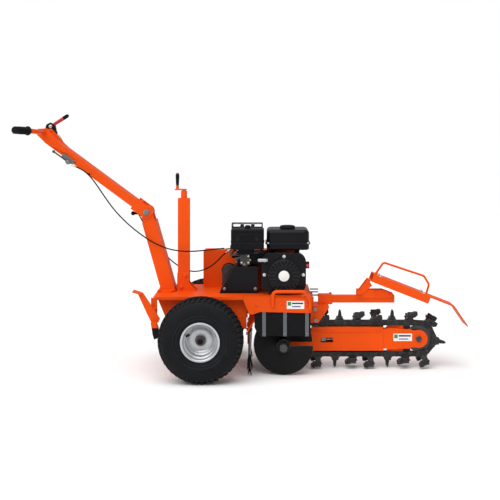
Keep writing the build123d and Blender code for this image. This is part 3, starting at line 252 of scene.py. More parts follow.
class Piece:
    """Collects geometry for one object that rides on one body."""

    def __init__(self, name, body, mat, slot):
        self.name, self.body, self.mat, self.slot = name, body, mat, slot
        self.mesh = bmesh.new()

    def lathe(self, profile, place, steps=32, closed=False):
        """Turn (radius, height) points about the local Z axis."""
        rings = []
        for radius, height in profile:
            if radius < 1e-6:
                rings.append([self.mesh.verts.new(place @ Vector((0, 0, height)))])
            else:
                rings.append([self.mesh.verts.new(place @ Vector((radius * cos(2 * pi * i / steps),
                                                                  radius * sin(2 * pi * i / steps), height)))
                              for i in range(steps)])
        pairs = list(zip(rings, rings[1:]))
        if closed:
            pairs.append((rings[-1], rings[0]))
        for low, high in pairs:
            for i in range(steps):
                j = (i + 1) % steps
                corners = [low[i % len(low)], low[j % len(low)], high[j % len(high)], high[i % len(high)]]
                unique = list(dict.fromkeys(corners))
                if len(unique) > 2:
                    self.mesh.faces.new(unique)

    def solid(self, outline, place, height, z0=0.0):
        """Raise an (x, y) outline along the local Z axis."""
        low = [self.mesh.verts.new(place @ Vector((x, y, z0))) for x, y in outline]
        high = [self.mesh.verts.new(place @ Vector((x, y, z0 + height))) for x, y in outline]
        self.mesh.faces.new(list(reversed(low)))
        self.mesh.faces.new(high)
        for i in range(len(outline)):
            j = (i + 1) % len(outline)
            self.mesh.faces.new([low[i], low[j], high[j], high[i]])

    def box(self, low, high, place=Matrix.Identity(4)):
        outline = [(low[0], low[1]), (high[0], low[1]), (high[0], high[1]), (low[0], high[1])]
        self.solid(outline, place, high[2] - low[2], low[2])

    def bolt(self, point, direction, across=0.013, height=0.006, washer=True):
        """Hexagon head with a chamfered top, standing on a washer."""
        place = aim(point, direction)
        base = 0.0
        if washer:
            self.lathe([(0, 0), (across * 0.86, 0), (across * 0.86, 0.0013), (0, 0.0013)], place, 20)
            base = 0.0013
        sides = [(across / 2 / cos(pi / 6) * cos(pi / 3 * i), across / 2 / cos(pi / 6) * sin(pi / 3 * i))
                 for i in range(6)]
        self.solid(sides, place, height * 0.82, base)
        top = base + height
        self.lathe([(across * 0.49, base + height * 0.82), (across * 0.40, top), (0, top)], place, 12)

    def tube(self, points, radius, steps=12):
        """Round tube along points close together."""
        points = [Vector(p) for p in points]
        rings = []
        side = None
        for i, point in enumerate(points):
            ahead = (points[min(i + 1, len(points) - 1)] - points[max(i - 1, 0)]).normalized()
            if side is None:
                side = ahead.orthogonal().normalized()
            side = (side - ahead * side.dot(ahead)).normalized()
            up = ahead.cross(side)
            size = radius[i] if isinstance(radius, (list, tuple)) else radius
            rings.append([self.mesh.verts.new(point + (side * cos(2 * pi * k / steps)
                                                       + up * sin(2 * pi * k / steps)) * size)
                          for k in range(steps)])
        for low, high in zip(rings, rings[1:]):
            for k in range(steps):
                m = (k + 1) % steps
                self.mesh.faces.new([low[k], low[m], high[m], high[k]])
        self.mesh.faces.new(list(reversed(rings[0])))
        self.mesh.faces.new(rings[-1])

    def finish(self, bevel=0.0, angle=32, attach=True):
        bmesh.ops.recalc_face_normals(self.mesh, faces=self.mesh.faces)
        data = bpy.data.meshes.new(self.name)
        self.mesh.to_mesh(data)
        self.mesh.free()
        data.materials.append(self.mat)
        data.polygons.foreach_set("use_smooth", [True] * len(data.polygons))
        data.set_sharp_from_angle(angle=radians(angle))
        thing = bpy.data.objects.new(self.name, data)
        scene.collection.objects.link(thing)
        if bevel > 0:
            rounding = thing.modifiers.new("edges", "BEVEL")
            rounding.width = bevel
            rounding.segments = 2
            rounding.limit_method = "ANGLE"
            rounding.angle_limit = radians(40)
        if attach:
            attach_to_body(thing, self.body)
        return thing


# ---- control cables -------------------------------------------------------------------------
THROTTLE_ROUTE = [(-0.826, -0.062, 0.962), (-0.785, -0.066, 0.948), (-0.738, -0.070, 0.916),
                  (-0.700, -0.072, 0.866), (-0.664, -0.072, 0.812), (-0.622, -0.073, 0.754),
                  (-0.572, -0.073, 0.700), (-0.514, -0.072, 0.650), (-0.452, -0.070, 0.606),
                  (-0.388, -0.068, 0.574), (-0.322, -0.066, 0.558), (-0.256, -0.066, 0.556),
                  (-0.192, -0.066, 0.562), (-0.134, -0.064, 0.568), (-0.0781, -0.062, 0.573)]
CLUTCH_ROUTE = [(-0.9286, 0.15, 1.103), (-0.914, 0.15, 1.084), (-0.894, 0.146, 1.048),
                (-0.86, 0.138, 1.01), (-0.818, 0.128, 0.976), (-0.768, 0.116, 0.938), (-0.716, 0.104, 0.9),
                (-0.662, 0.092, 0.862), (-0.608, 0.082, 0.822), (-0.56, 0.074, 0.776),
                (-0.526, 0.07, 0.726), (-0.498, 0.068, 0.674), (-0.468, 0.066, 0.624),
                (-0.436, 0.064, 0.576), (-0.4, 0.062, 0.532), (-0.36, 0.058, 0.494),
                (-0.316, 0.052, 0.464), (-0.27, 0.044, 0.448), (-0.224, 0.03, 0.452),
                (-0.184, 0.012, 0.47), (-0.15, -0.008, 0.496), (-0.12, -0.025, 0.528),
                (-0.099, -0.034, 0.549), (-0.0781, -0.038, 0.562)]


def control_cable(name, node, route):
    """Black sheathed cable that bends at the handle's pivot, with a metal ferrule at each end."""
    curve = bpy.data.curves.new(name + "_line", "CURVE")
    curve.dimensions = "3D"
    curve.resolution_u = 10
    line = curve.splines.new("NURBS")
    line.points.add(len(route) - 1)
    for point, place in zip(line.points, route):
        point.co = (*place, 1)
    line.order_u = 3
    line.use_endpoint_u = True
    holder = bpy.data.objects.new(name + "_line", curve)
    scene.collection.objects.link(holder)
    bpy.context.view_layer.update()
    sampled = bpy.data.meshes.new_from_object(holder.evaluated_get(bpy.context.evaluated_depsgraph_get()))
    path = [tuple(v.co) for v in sampled.vertices]
    bpy.data.objects.remove(holder)
    tube = Piece(name, "frame", RUBBER, "rubber")
    tube.tube(path, 0.003, 12)
    cable = tube.finish(attach=False, angle=60)
    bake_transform(cable)
    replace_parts(cable, node)
    for label, body, at, towards in (("top", "handle", 0, 6), ("engine", "frame", -1, -7)):
        start, inward = Vector(path[at]), Vector(path[towards])
        way = (inward - start).normalized()
        ferrule = Piece(f"{name}_ferrule_{label}", body, ZINC, "zinc_steel")
        ferrule.lathe([(0.0031, -0.0), (0.0046, 0.0), (0.0046, 0.008), (0.0054, 0.009), (0.0054, 0.013),
                       (0.0044, 0.014), (0.0040, 0.026), (0.0031, 0.028)], aim(start, way), 20)
        ferrule.finish()


control_cable("throttle_cable_sheath", "throttle_cable", THROTTLE_ROUTE)
control_cable("clutch_cable_sheath", "clutch_cable", CLUTCH_ROUTE)

# ---- tyres and rims ---------------------------------------------------------------------------
AXLE = Vector((-0.200, 0.0, 0.1905))
TYRE_R = 0.1905
TREAD_BLOCKS = 48
SHOULDER = [(0.1792, 0.032), (0.1762, 0.046), (0.1700, 0.058)]


def arc(points, rounds=2):
    """Cut the corners of an open (r, z) outline to make it smooth."""
    for _ in range(rounds):
        finer = [points[0]]
        for a, b in zip(points, points[1:]):
            finer.append((a[0] * 0.75 + b[0] * 0.25, a[1] * 0.75 + b[1] * 0.25))
            finer.append((a[0] * 0.25 + b[0] * 0.75, a[1] * 0.25 + b[1] * 0.75))
        finer.append(points[-1])
        points = finer
    return points


def lug(piece, place, path, angle, span, lean, rise):
    """Tread block that follows the carcass outline `path` over an angle."""
    def row(lift, tight):
        corners = []
        for side in (-1, 1):
            line = []
            for index, (radius, height) in enumerate(path):
                turn = angle + side * span * tight + lean * index
                r = min(radius + lift, TYRE_R - 0.0001)
                line.append(piece.mesh.verts.new(place @ Vector((r * cos(turn), r * sin(turn),
                                                                 height + lift * 0.25 * (index > 2)
                                                                 * (1 if height > 0 else -1)))))
            corners.append(line)
        return corners
    base, top = row(-0.004, 1.0), row(rise, 0.82)
    count = len(path)
    for i in range(count - 1):
        piece.mesh.faces.new([top[0][i], top[1][i], top[1][i + 1], top[0][i + 1]])
        for s in (0, 1):
            piece.mesh.faces.new([base[s][i], top[s][i], top[s][i + 1], base[s][i + 1]])
    for i in (0, count - 1):
        piece.mesh.faces.new([base[0][i], base[1][i], top[1][i], top[0][i]])


for name, side in (("right", -1), ("left", 1)):
    stand = Matrix.Translation(AXLE + Vector((0, side * 0.300, 0))) @ Matrix.Rotation(-side * pi / 2, 4, "X")
    tyre = Piece(f"tyre_{name}_tread", f"wheel_{name}", TYRE, "tyre_rubber")
    half = [(0.1805, 0.0), (0.1802, 0.020), (0.1790, 0.036), (0.1755, 0.050), (0.1680, 0.0605),
            (0.1570, 0.0675), (0.1440, 0.0725), (0.1300, 0.0745), (0.1180, 0.0735), (0.1170, 0.0748),
            (0.1150, 0.0748), (0.1140, 0.0722), (0.1050, 0.0690), (0.1040, 0.0702), (0.1022, 0.0700), (0.1012, 0.0675),
            (0.0960, 0.0650), (0.0915, 0.0640), (0.0890, 0.0605), (0.0800, 0.0590)]
    outline = arc([(r, -z) for r, z in reversed(half[1:])] + half, 1)
    tyre.lathe(outline + [(0.079, 0.045), (0.079, -0.045)], stand, 128, closed=True)
    step = 2 * pi / TREAD_BLOCKS
    for index in range(TREAD_BLOCKS):
        angle = index * step
        for hand in (-1, 1):
            shoulder = [(r, hand * z) for r, z in SHOULDER]
            start = angle + (0.25 * step if hand > 0 else 0)
            lug(tyre, stand, shoulder, start, 0.30 * step, hand * 0.008, 0.0095)
            inner = [(0.1806, hand * 0.0045), (0.1804, hand * 0.014), (0.1800, hand * 0.024)]
            lug(tyre, stand, inner, start + step / 2, 0.33 * step, hand * 0.020, 0.0098)
    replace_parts(tyre.finish(bevel=0.0009, angle=38), f"tyre_{name}")

    rim = Piece(f"rim_{name}_pressing", f"wheel_{name}", SILVER, "silver_paint")
    outer = [(0.0630, 0.0180), (0.0638, 0.0370), (0.0655, 0.0440), (0.0740, 0.0500), (0.0755, 0.0560),
             (0.0768, 0.0620), (0.0800, 0.0642), (0.0850, 0.0655), (0.0872, 0.0648), (0.0872, 0.0625),
             (0.0838, 0.0612), (0.0792, 0.0592), (0.0779, 0.0560), (0.0779, 0.0490), (0.0665, 0.0400)]
    loop = outer + [(r, -z) for r, z in reversed(outer)]
    rim.lathe(arc(loop, 1), stand, 96, closed=True)
    dish = [(0.0640, 0.0205), (0.0600, 0.0190), (0.0560, 0.0150), (0.0480, 0.0100), (0.0380, 0.0084),
            (0.0300, 0.0088), (0.0250, 0.0088), (0.0236, 0.0110), (0.0236, 0.0216), (0.0127, 0.0218),
            (0.0127, -0.0218), (0.0236, -0.0216), (0.0236, 0.0040), (0.0380, 0.0045), (0.0500, 0.0055),
            (0.0600, 0.0130), (0.0640, 0.0155)]
    rim.lathe(dish, stand, 96, closed=True)
    pressing = rim.finish(angle=40)
    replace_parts(pressing, f"rim_{name}")
    trim = Piece(f"rim_{name}_hub", f"wheel_{name}", DARK_STEEL, "dark_steel")
    trim.lathe([(0.0129, 0.0100), (0.0238, 0.0100), (0.0252, 0.0130), (0.0252, 0.0195), (0.0225, 0.0220),
                (0.0129, 0.0220)], stand, 40, closed=True)
    trim.finish(angle=30)
    valve = Piece(f"rim_{name}_valve", f"wheel_{name}", RUBBER, "rubber")
    foot, tip = Vector((-0.0535, 0.0240, 0.0150)), Vector((-0.0580, 0.0260, 0.0600))
    stem = [stand @ foot.lerp(tip, t) for t in (0, 0.15, 0.3, 0.5, 0.7, 0.72, 0.95, 1.0)]
    valve.tube(stem, [0.0062, 0.0058, 0.0046, 0.0038, 0.0036, 0.0044, 0.0044, 0.0034], 16)
    valve.finish(angle=40)

# ---- handlebar grips and clutch lever ----------------------------------------------------------
for name, side in (("right", -1), ("left", 1)):
    start = Vector((-0.980, side * 0.242, 1.1171))
    end = Vector((-1.0205, side * 0.328, 1.1191))
    length = (end - start).length
    grip = Piece(f"grip_{name}", "handle", RUBBER, "rubber")
    profile = [(0.0111, 0.0), (0.0205, 0.0), (0.0210, 0.002), (0.0205, 0.0055), (0.0170, 0.0075)]
    ribs = 11
    for index in range(ribs):
        z = 0.010 + index * (length - 0.022) / ribs
        pitch = (length - 0.022) / ribs
        bulge = 0.0008 * sin(pi * index / (ribs - 1))
        valley, crest = 0.0148 + bulge, 0.0168 + bulge
        profile += [(valley, z), (valley, z + pitch * 0.25), (crest, z + pitch * 0.38),
                    (crest, z + pitch * 0.82)]
    profile += [(0.0166, length - 0.010), (0.0168, length - 0.004), (0.0150, length - 0.0008), (0.0, length)]
    grip.lathe(profile, aim(start, end - start), 40)
    pair = grip.finish(angle=45)
    if side < 0:
        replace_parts(pair, "grips")

BAR = Vector((-0.953, 0.150, 1.114))
root, tip = BAR + Vector((-0.010, 0, 0.031)), BAR + Vector((0.069, 0, 0.082))
lean = (tip - root).normalized()
lever = Piece("clutch_lever_blade", "clutch_lever", RED, "red_plastic")
lever.lathe([(0, -0.0078), (0.0118, -0.0078), (0.0130, -0.0060), (0.0130, 0.0060), (0.0118, 0.0078),
             (0, 0.0078)], aim(root, (0, 1, 0)), 32)
across = Vector((0, 1, 0)).cross(lean)
blade = Matrix(((across.x, 0, lean.x, root.x), (across.y, 1, lean.y, root.y),
                (across.z, 0, lean.z, root.z), (0, 0, 0, 1)))
reach = (tip - root).length


def stadium(wide, deep, count=20):
    """Rounded cross-section."""
    return [(wide * (abs(cos(2 * pi * i / count)) ** 0.6) * (1 if cos(2 * pi * i / count) >= 0 else -1),
             deep * (abs(sin(2 * pi * i / count)) ** 0.6) * (1 if sin(2 * pi * i / count) >= 0 else -1))
            for i in range(count)]


def loft(piece, place, sections):
    """Skin between rounded sections given as (z, half width, half depth)."""
    rings = [[piece.mesh.verts.new(place @ Vector((x, y, z))) for x, y in stadium(wide, deep)]
             for z, wide, deep in sections]
    for low, high in zip(rings, rings[1:]):
        for i in range(len(low)):
            j = (i + 1) % len(low)
            piece.mesh.faces.new([low[i], low[j], high[j], high[i]])
    piece.mesh.faces.new(list(reversed(rings[0])))
    piece.mesh.faces.new(rings[-1])


loft(lever, blade, [(0.000, 0.0075, 0.0066), (0.020, 0.0078, 0.0068), (0.050, 0.0085, 0.0070),
                    (reach - 0.022, 0.0088, 0.0070)])
blade_piece = lever.finish(angle=40)
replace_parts(blade_piece, "clutch_lever")
cap = Piece("clutch_lever_tip", "clutch_lever", BLACK_PLASTIC, "black_plastic")
loft(cap, blade, [(reach - 0.022, 0.0089, 0.0071), (reach - 0.004, 0.0090, 0.0071),
                  (reach + 0.004, 0.0078, 0.0062), (reach + 0.008, 0.0045, 0.0040)])
cap.finish(angle=50)
pivot_bolt = Piece("clutch_lever_pivot", "handle", ZINC, "zinc_steel")
for side in (-1, 1):
    pivot_bolt.bolt(root + Vector((0, side * 0.0141, 0)), (0, side, 0), 0.010, 0.004)
pivot_bolt.finish()

# ---- rubber fringe and side curtain ---------------------------------------------------------------
fringe = Piece("fringe_strips", "frame", RUBBER, "rubber")
STRIPS = 20
width = 0.392 / STRIPS
for index in range(STRIPS):
    y0 = -0.196 + index * width
    lean = 0.014 * sin(index * 2.3)
    short = 0.012 * (1 + sin(index * 4.1))
    left, right = y0 + 0.0005, y0 + width - 0.0005
    rows = []
    for k in range(13):
        t = k / 12
        z = 0.2035 - t * (0.2010 - short)
        free = max(0.0, (0.100 - z) / 0.098)
        drift = lean * free ** 1.5 + 0.0015 * sin(index * 1.7 + t * 5) * free
        x = 0.011 + drift
        thick = 0.0027 if z > 0.100 else 0.0021
        narrow = 0.0012 * free * (1 + sin(index * 3.1))
        rows.append([(x - thick, left + narrow, z), (x - thick, right - narrow, z),
                     (x + thick, right - narrow, z), (x + thick, left + narrow, z)])
    rings = [[fringe.mesh.verts.new(Vector(p)) for p in row] for row in rows]
    for low, high in zip(rings, rings[1:]):
        for k in range(4):
            m = (k + 1) % 4
            fringe.mesh.faces.new([low[k], low[m], high[m], high[k]])
    fringe.mesh.faces.new(list(reversed(rings[0])))
    fringe.mesh.faces.new(rings[-1])
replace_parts(fringe.finish(bevel=0.0005, angle=40), "rubber_curtains")

curtain = Piece("side_curtain", "frame", RUBBER, "rubber")
COLUMNS, ROWS = 48, 16
front, back = [], []
for i in range(COLUMNS + 1):
    x = 0.0365 + (0.2915 - 0.0365) * i / COLUMNS
    low = 0.1865 if x > 0.055 else 0.1865 + (0.055 - x) / 0.019 * 0.040
    pair = ([], [])
    for k in range(ROWS + 1):
        z = 0.3225 + (low - 0.3225) * k / ROWS
        wave = 0.0011 * sin(x * 70) * (k / ROWS) ** 1.5
        pair[0].append(curtain.mesh.verts.new((x, -0.1957 + max(0.0, wave), z)))
        pair[1].append(curtain.mesh.verts.new((x, -0.1924 + max(0.0, wave), z)))
    front.append(pair[0])
    back.append(pair[1])
for i in range(COLUMNS):
    for k in range(ROWS):
        curtain.mesh.faces.new([front[i][k], front[i + 1][k], front[i + 1][k + 1], front[i][k + 1]])
        curtain.mesh.faces.new([back[i][k + 1], back[i + 1][k + 1], back[i + 1][k], back[i][k]])
    for k in (0, ROWS):
        curtain.mesh.faces.new([front[i][k], back[i][k], back[i + 1][k], front[i + 1][k]])
for i in (0, COLUMNS):
    for k in range(ROWS):
        curtain.mesh.faces.new([front[i][k], front[i][k + 1], back[i][k + 1], back[i][k]])
curtain.finish(angle=60)

# ---- bolts, weld beads and small fittings on the painted frame ----------------------------------------
frame_bolts = Piece("frame_bolts", "frame", ORANGE, "orange_paint")
for side in (-1, 1):
    for x, z in ((0.045, 0.330), (0.275, 0.330), (0.160, 0.338)):
        frame_bolts.bolt((x, side * 0.204, z), (0, side, 0), 0.010, 0.0035)
    for x in (-0.410, -0.350):
        frame_bolts.bolt((x, side * 0.052, 0.370), (0, 0, 1), 0.014, 0.006)
    for x, z in ((-0.310, 0.385), (-0.290, 0.440)):
        frame_bolts.bolt((x, side * 0.032, z), (0, side, 0), 0.013, 0.0055)
for x, y in ((0.100, -0.088), (0.246, -0.088), (0.100, 0.072), (0.246, 0.072)):
    frame_bolts.bolt((x, y + (0.012 if y > 0 else -0.016), 0.365), (0, 0, 1), 0.013, 0.007)
for x, z in ((-0.195, 0.385), (-0.195, 0.525), (0.212, 0.385), (0.212, 0.525), (0.010, 0.530),
             (0.010, 0.385)):
    frame_bolts.bolt((x, 0.186, z), (0, 1, 0), 0.010, 0.004)
for x, z in ((-0.050, 0.330), (0.110, 0.100), (0.170, 0.072), (0.230, 0.120), (0.215, 0.180), (0.030, 0.215),
             (0.120, 0.265)):
    frame_bolts.bolt((x, 0.140, z), (0, 1, 0), 0.010, 0.004)
frame_bolts.finish()
cover_bolts = Piece("drive_cover_bolts", "frame", FASTENER, "zinc_steel")
for x, z in ((-0.104, 0.386), (0.040, 0.386)):
    cover_bolts.bolt((x, -0.096, z), (0, -1, 0), 0.009, 0.004)
cover_bolts.finish()

welds = Piece("weld_beads", "frame", ORANGE, "orange_paint")


def bead(piece, start, end, radius=0.0026):
    """Rippled weld along a joint."""
    start, end = Vector(start), Vector(end)
    count = max(6, int((end - start).length / 0.0035))
    piece.tube([start.lerp(end, i / count) for i in range(count + 1)],
               [radius * (0.82 + 0.18 * (i % 2)) for i in range(count + 1)], 8)


for side in (-1, 1):
    bead(welds, (-0.329, side * 0.0325, 0.3655), (-0.236, side * 0.0325, 0.3655))
    bead(welds, (-0.329, side * 0.0275, 0.369), (-0.3265, side * 0.0275, 0.452))
    bead(welds, (-0.420, side * 0.0505, 0.3705), (-0.345, side * 0.0505, 0.3705))
    bead(welds, (0.296, side * 0.0625, 0.236), (0.296, side * 0.0625, 0.340))
    bead(welds, (0.117, side * 0.2042, 0.3300), (0.121, side * 0.2042, 0.3560))
    bead(welds, (0.286, side * 0.2042, 0.3100), (0.290, side * 0.2042, 0.3300))
bead(welds, (-0.4215, -0.196, 0.3635), (-0.4215, 0.196, 0.3635), 0.0018)
welds.finish(angle=50)

# label plates without any lettering
def label(name, body, y, plates):
    """White plate and its coloured blocks, which stand 0.2 mm proud of it."""
    for suffix, mat, x0, x1, z0, z1, lift in plates:
        plate = Piece(name + suffix, body, mat, "silver_paint")
        plate.box((x0, y - lift, z0), (x1, y + 0.0005 - lift * 2, z1))
        plate.finish()


label("side_label", "frame", -0.20455, (("", LABEL, 0.1830, 0.2620, 0.3108, 0.3468, 0.0),
                                        ("_green", GREEN, 0.187, 0.203, 0.326, 0.343, 0.0002),
                                        ("_dark", BLACK_PAINT, 0.207, 0.257, 0.333, 0.339, 0.0002),
                                        ("_blue", BLUE, 0.207, 0.246, 0.319, 0.324, 0.0002)))
label("boom_label", "boom_nose", -0.02360, (("", LABEL, 0.690, 0.778, 0.129, 0.164, 0.0),
                                            ("_green", GREEN, 0.694, 0.710, 0.142, 0.160, 0.0002),
                                            ("_dark", BLACK_PAINT, 0.715, 0.772, 0.150, 0.157, 0.0002),
                                            ("_blue", BLUE, 0.715, 0.760, 0.136, 0.141, 0.0002)))

# ---- handle arm details ---------------------------------------------------------------------------
handle_bolts = Piece("handle_bolts", "handle", FASTENER, "zinc_steel")
handle_bolts.bolt((-0.838, -0.0640, 0.975), (0, -1, 0), 0.011, 0.004)
handle_bolts.finish()
throttle_plate = Piece("throttle_plate", "handle", GREY_STEEL, "zinc_steel")
corners = ((-0.8705, 0.9970), (-0.8575, 1.0152), (-0.8055, 0.9782), (-0.8185, 0.9600))
throttle_plate.solid([(x, -z) for x, z in corners], SIDE_ON, 0.0010, -0.0602)
throttle_plate.finish(bevel=0.0003)
clips = Piece("handle_cable_clips", "handle", BLACK_PLASTIC, "black_plastic")
for point, way in (((-0.738, -0.0695, 0.9163), (0.68, 0, -0.73)),):
    clips.lathe([(0.0032, -0.005), (0.0050, -0.005), (0.0054, 0.0), (0.0050, 0.005), (0.0032, 0.005)],
                aim(point, way), 20, closed=True)
clips.finish()

# ---- engine ----------------------------------------------------------------------------------------
ENGINE = Vector((0.171, 0.0, 0.455))
FACE = -0.1640
front_face = aim((ENGINE.x, FACE, ENGINE.z), (0, -1, 0))
disc = Piece("recoil_disc", "frame", LABEL, "silver_paint")
disc.lathe([(0, 0.0070), (0.0235, 0.0070), (0.0245, 0.0075), (0.0245, 0.0078), (0.0235, 0.0083), (0, 0.0083)],
           front_face, 48)
disc.finish(angle=30)
vents = Piece("recoil_louvres", "frame", CASTING, "black_paint")
for r0, r1, count in ((0.044, 0.056, 18), (0.059, 0.069, 24)):
    for index in range(count):
        turn = Matrix.Rotation(2 * pi * index / count, 4, "Z")
        slat = [(r0, -0.0020), (r1, -0.0034), (r1 + 0.001, 0.0012), (r0 + 0.001, 0.0012)]
        vents.solid(slat, front_face @ turn, 0.0022, -0.0008)
vents.lathe([(0.0405, 0.000), (0.0430, 0.000), (0.0430, 0.0032), (0.0405, 0.0032)], front_face, 64,
            closed=True)
vents.lathe([(0.0700, -0.0030), (0.0725, -0.0030), (0.0725, 0.0010), (0.0700, 0.0010)], front_face, 72,
            closed=True)
vents.finish(bevel=0.0005)
recoil_bolts = Piece("recoil_bolts", "frame", ZINC, "zinc_steel")
for x, z in ((0.172, 0.541), (0.081, 0.457), (0.261, 0.457)):
    recoil_bolts.bolt((x, -0.1400, z), (0, -1, 0), 0.009, 0.004)
recoil_bolts.finish()

pull = Piece("starter_handle", "starter", SILVER, "silver_paint")
loft(pull, aim((0.0510, -0.152, 0.525), (1, 0, 0)),
     [(0.000, 0.0055, 0.0050), (0.003, 0.0082, 0.0074), (0.014, 0.0088, 0.0078), (0.023, 0.0078, 0.0072),
      (0.032, 0.0088, 0.0078), (0.043, 0.0082, 0.0074), (0.046, 0.0055, 0.0050)])
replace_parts(pull.finish(angle=60), "starter_grip")
knot = Piece("starter_rope_end", "starter", ROPE, "silver_paint")
knot.tube([(0.0740, -0.1525, 0.5250), (0.0780, -0.1508, 0.5205), (0.0820, -0.1485, 0.5165)], 0.0022, 12)
knot.finish()
bush = Piece("starter_rope_eye", "frame", BLACK_PLASTIC, "black_plastic")
bush.lathe([(0.0028, -0.001), (0.0075, -0.001), (0.0080, 0.002), (0.0060, 0.004), (0.0028, 0.004)],
           aim((0.0860, -0.1408, 0.5125), (-0.5, -0.72, 0.35)), 24, closed=True)
bush.finish()

cap = Piece("fuel_cap_cover", "fuel_cap", BLACK_PLASTIC, "black_plastic")
cap_place = aim((0.190, -0.030, 0.6603), (0, 0, 1))
cap.lathe([(0, 0.0005), (0.0335, 0.0005), (0.0345, 0.002), (0.0345, 0.0115), (0.0325, 0.0145),
           (0.0250, 0.0160), (0.0240, 0.0150), (0.0120, 0.0148), (0, 0.0148)], cap_place, 64)
for index in range(30):
    turn = Matrix.Rotation(2 * pi * index / 30, 4, "Z")
    rib = [(0.0340, -0.0016), (0.0358, -0.0011), (0.0358, 0.0011), (0.0340, 0.0016)]
    cap.solid(rib, cap_place @ turn, 0.0095, 0.0020)
cap.box((-0.022, -0.003, 0.0145), (0.022, 0.003, 0.0165), cap_place)
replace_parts(cap.finish(bevel=0.0004, angle=36), "fuel_cap")

tank_trim = Piece("tank_bolts", "frame", ZINC, "zinc_steel")
for x, y in ((0.099, -0.100), (0.283, -0.100), (0.099, 0.096), (0.283, 0.096)):
    tank_trim.bolt((x, y, 0.5970), (0, 0, 1), 0.009, 0.004)
tank_trim.finish()
fuel_line = Piece("fuel_line", "frame", RUBBER, "rubber")
fuel_line.tube([(0.098 - 0.002 * i, -0.070 - 0.0006 * i, 0.567 - 0.0035 * i + 0.00022 * i * i)
                for i in range(12)], 0.0032, 12)
fuel_line.finish(angle=60)

cleaner = Piece("air_cleaner_trim", "frame", BLACK_PLASTIC, "black_plastic")
cleaner.lathe([(0, 0), (0.014, 0), (0.0145, 0.002), (0.0120, 0.009), (0.0125, 0.012), (0.009, 0.014),
               (0, 0.014)], aim((0.004, -0.080, 0.6660), (0, 0, 1)), 24)
for x in (-0.0735, 0.0805):
    cleaner.box((x - 0.0016, -0.118, 0.604), (x + 0.0016, -0.042, 0.607))
for z in (0.600, 0.640):
    cleaner.box((-0.058, -0.1394, z), (0.065, -0.1378, z + 0.0022))
for index in range(9):
    x = -0.050 + index * 0.0125
    cleaner.box((x, -0.1396, 0.580), (x + 0.0055, -0.1378, 0.596))
cleaner.finish(bevel=0.0005)
latch = Piece("air_cleaner_latches", "frame", BLACK_PAINT, "black_paint")
for x in (-0.040, 0.046):
    latch.box((x - 0.006, -0.1402, 0.612), (x + 0.006, -0.1379, 0.632))
    latch.lathe([(0, 0), (0.0030, 0), (0.0030, 0.0016), (0, 0.0016)],
                aim((x, -0.1402, 0.618), (0, -1, 0)), 16)
latch.finish(bevel=0.0005)

linkage = Piece("throttle_linkage", "frame", ZINC, "zinc_steel")
linkage.tube([(-0.074, -0.0615, 0.5725), (-0.060, -0.064, 0.5700), (-0.044, -0.070, 0.5620),
              (-0.030, -0.076, 0.5500)], 0.0014, 8)
linkage.tube([(-0.074, -0.0380, 0.5600), (-0.050, -0.0600, 0.5640), (-0.026, -0.078, 0.5560)], 0.0014, 8)
coil = []
for index in range(46):
    turn = index * 0.7
    coil.append((0.012 + index * 0.0010, -0.0920 + 0.0030 * cos(turn), 0.5520 + 0.0030 * sin(turn)))
linkage.tube(coil, 0.0007, 6)
for x, z in ((-0.024, 0.508), (0.007, 0.508), (0.007, 0.538)):
    linkage.bolt((x, -0.0980, z), (0, -1, 0), 0.008, 0.0035, washer=False)
linkage.lathe([(0, 0), (0.0048, 0), (0.0048, 0.010), (0.0030, 0.012), (0, 0.012)],
              aim((-0.008, -0.080, 0.4910), (0, 0, -1)), 18)
linkage.finish(angle=40)
jets = Piece("carburettor_jets", "frame", BRASS, "zinc_steel")
for x, z in ((-0.012, 0.500), (0.016, 0.520)):
    jets.lathe([(0, 0), (0.0042, 0), (0.0042, 0.006), (0.0026, 0.007), (0.0026, 0.010), (0, 0.010)],
               aim((x, -0.0970, z), (0, -1, 0)), 16)
jets.finish(angle=40)
plug = Piece("spark_plug_cap", "frame", RUBBER, "rubber")
plug.lathe([(0.0, -0.001), (0.0075, -0.001), (0.0090, 0.006), (0.0090, 0.020), (0.0070, 0.028), (0, 0.029)],
           aim((-0.0458, 0.010, 0.525), (-1, 0, 0)), 24)
plug.tube([(-0.070, 0.0100, 0.5250), (-0.0735, 0.0120, 0.5330), (-0.068, 0.0180, 0.5460),
           (-0.050, 0.0300, 0.5560), (-0.020, 0.0500, 0.5660), (0.030, 0.0640, 0.5640),
           (0.070, 0.0680, 0.5500), (0.100, 0.0700, 0.5280)], 0.0035, 12)
plug.finish(angle=50)
drain = Piece("engine_bolts", "frame", ZINC, "zinc_steel")
for x, z in ((0.100, 0.400), (0.240, 0.400), (0.100, 0.505), (0.240, 0.505)):
    drain.bolt((x, 0.0840, z), (0, 1, 0), 0.012, 0.006)
for x in (0.110, 0.236):
    drain.bolt((x, -0.1000, 0.3830), (0, -1, 0), 0.012, 0.006)
for y, z in ((-0.030, 0.502), (0.030, 0.502), (-0.030, 0.548), (0.030, 0.548)):
    drain.bolt((-0.0460, y, z), (-1, 0, 0), 0.011, 0.006)
drain.finish()
switch_box = Piece("switch_box_cover", "frame", BLACK_PLASTIC, "black_plastic")
switch_box.box((0.2728, -0.1345, 0.4855), (0.2885, -0.1055, 0.5145))
switch_box.finish(bevel=0.0015)

BOOM_Z = 0.139

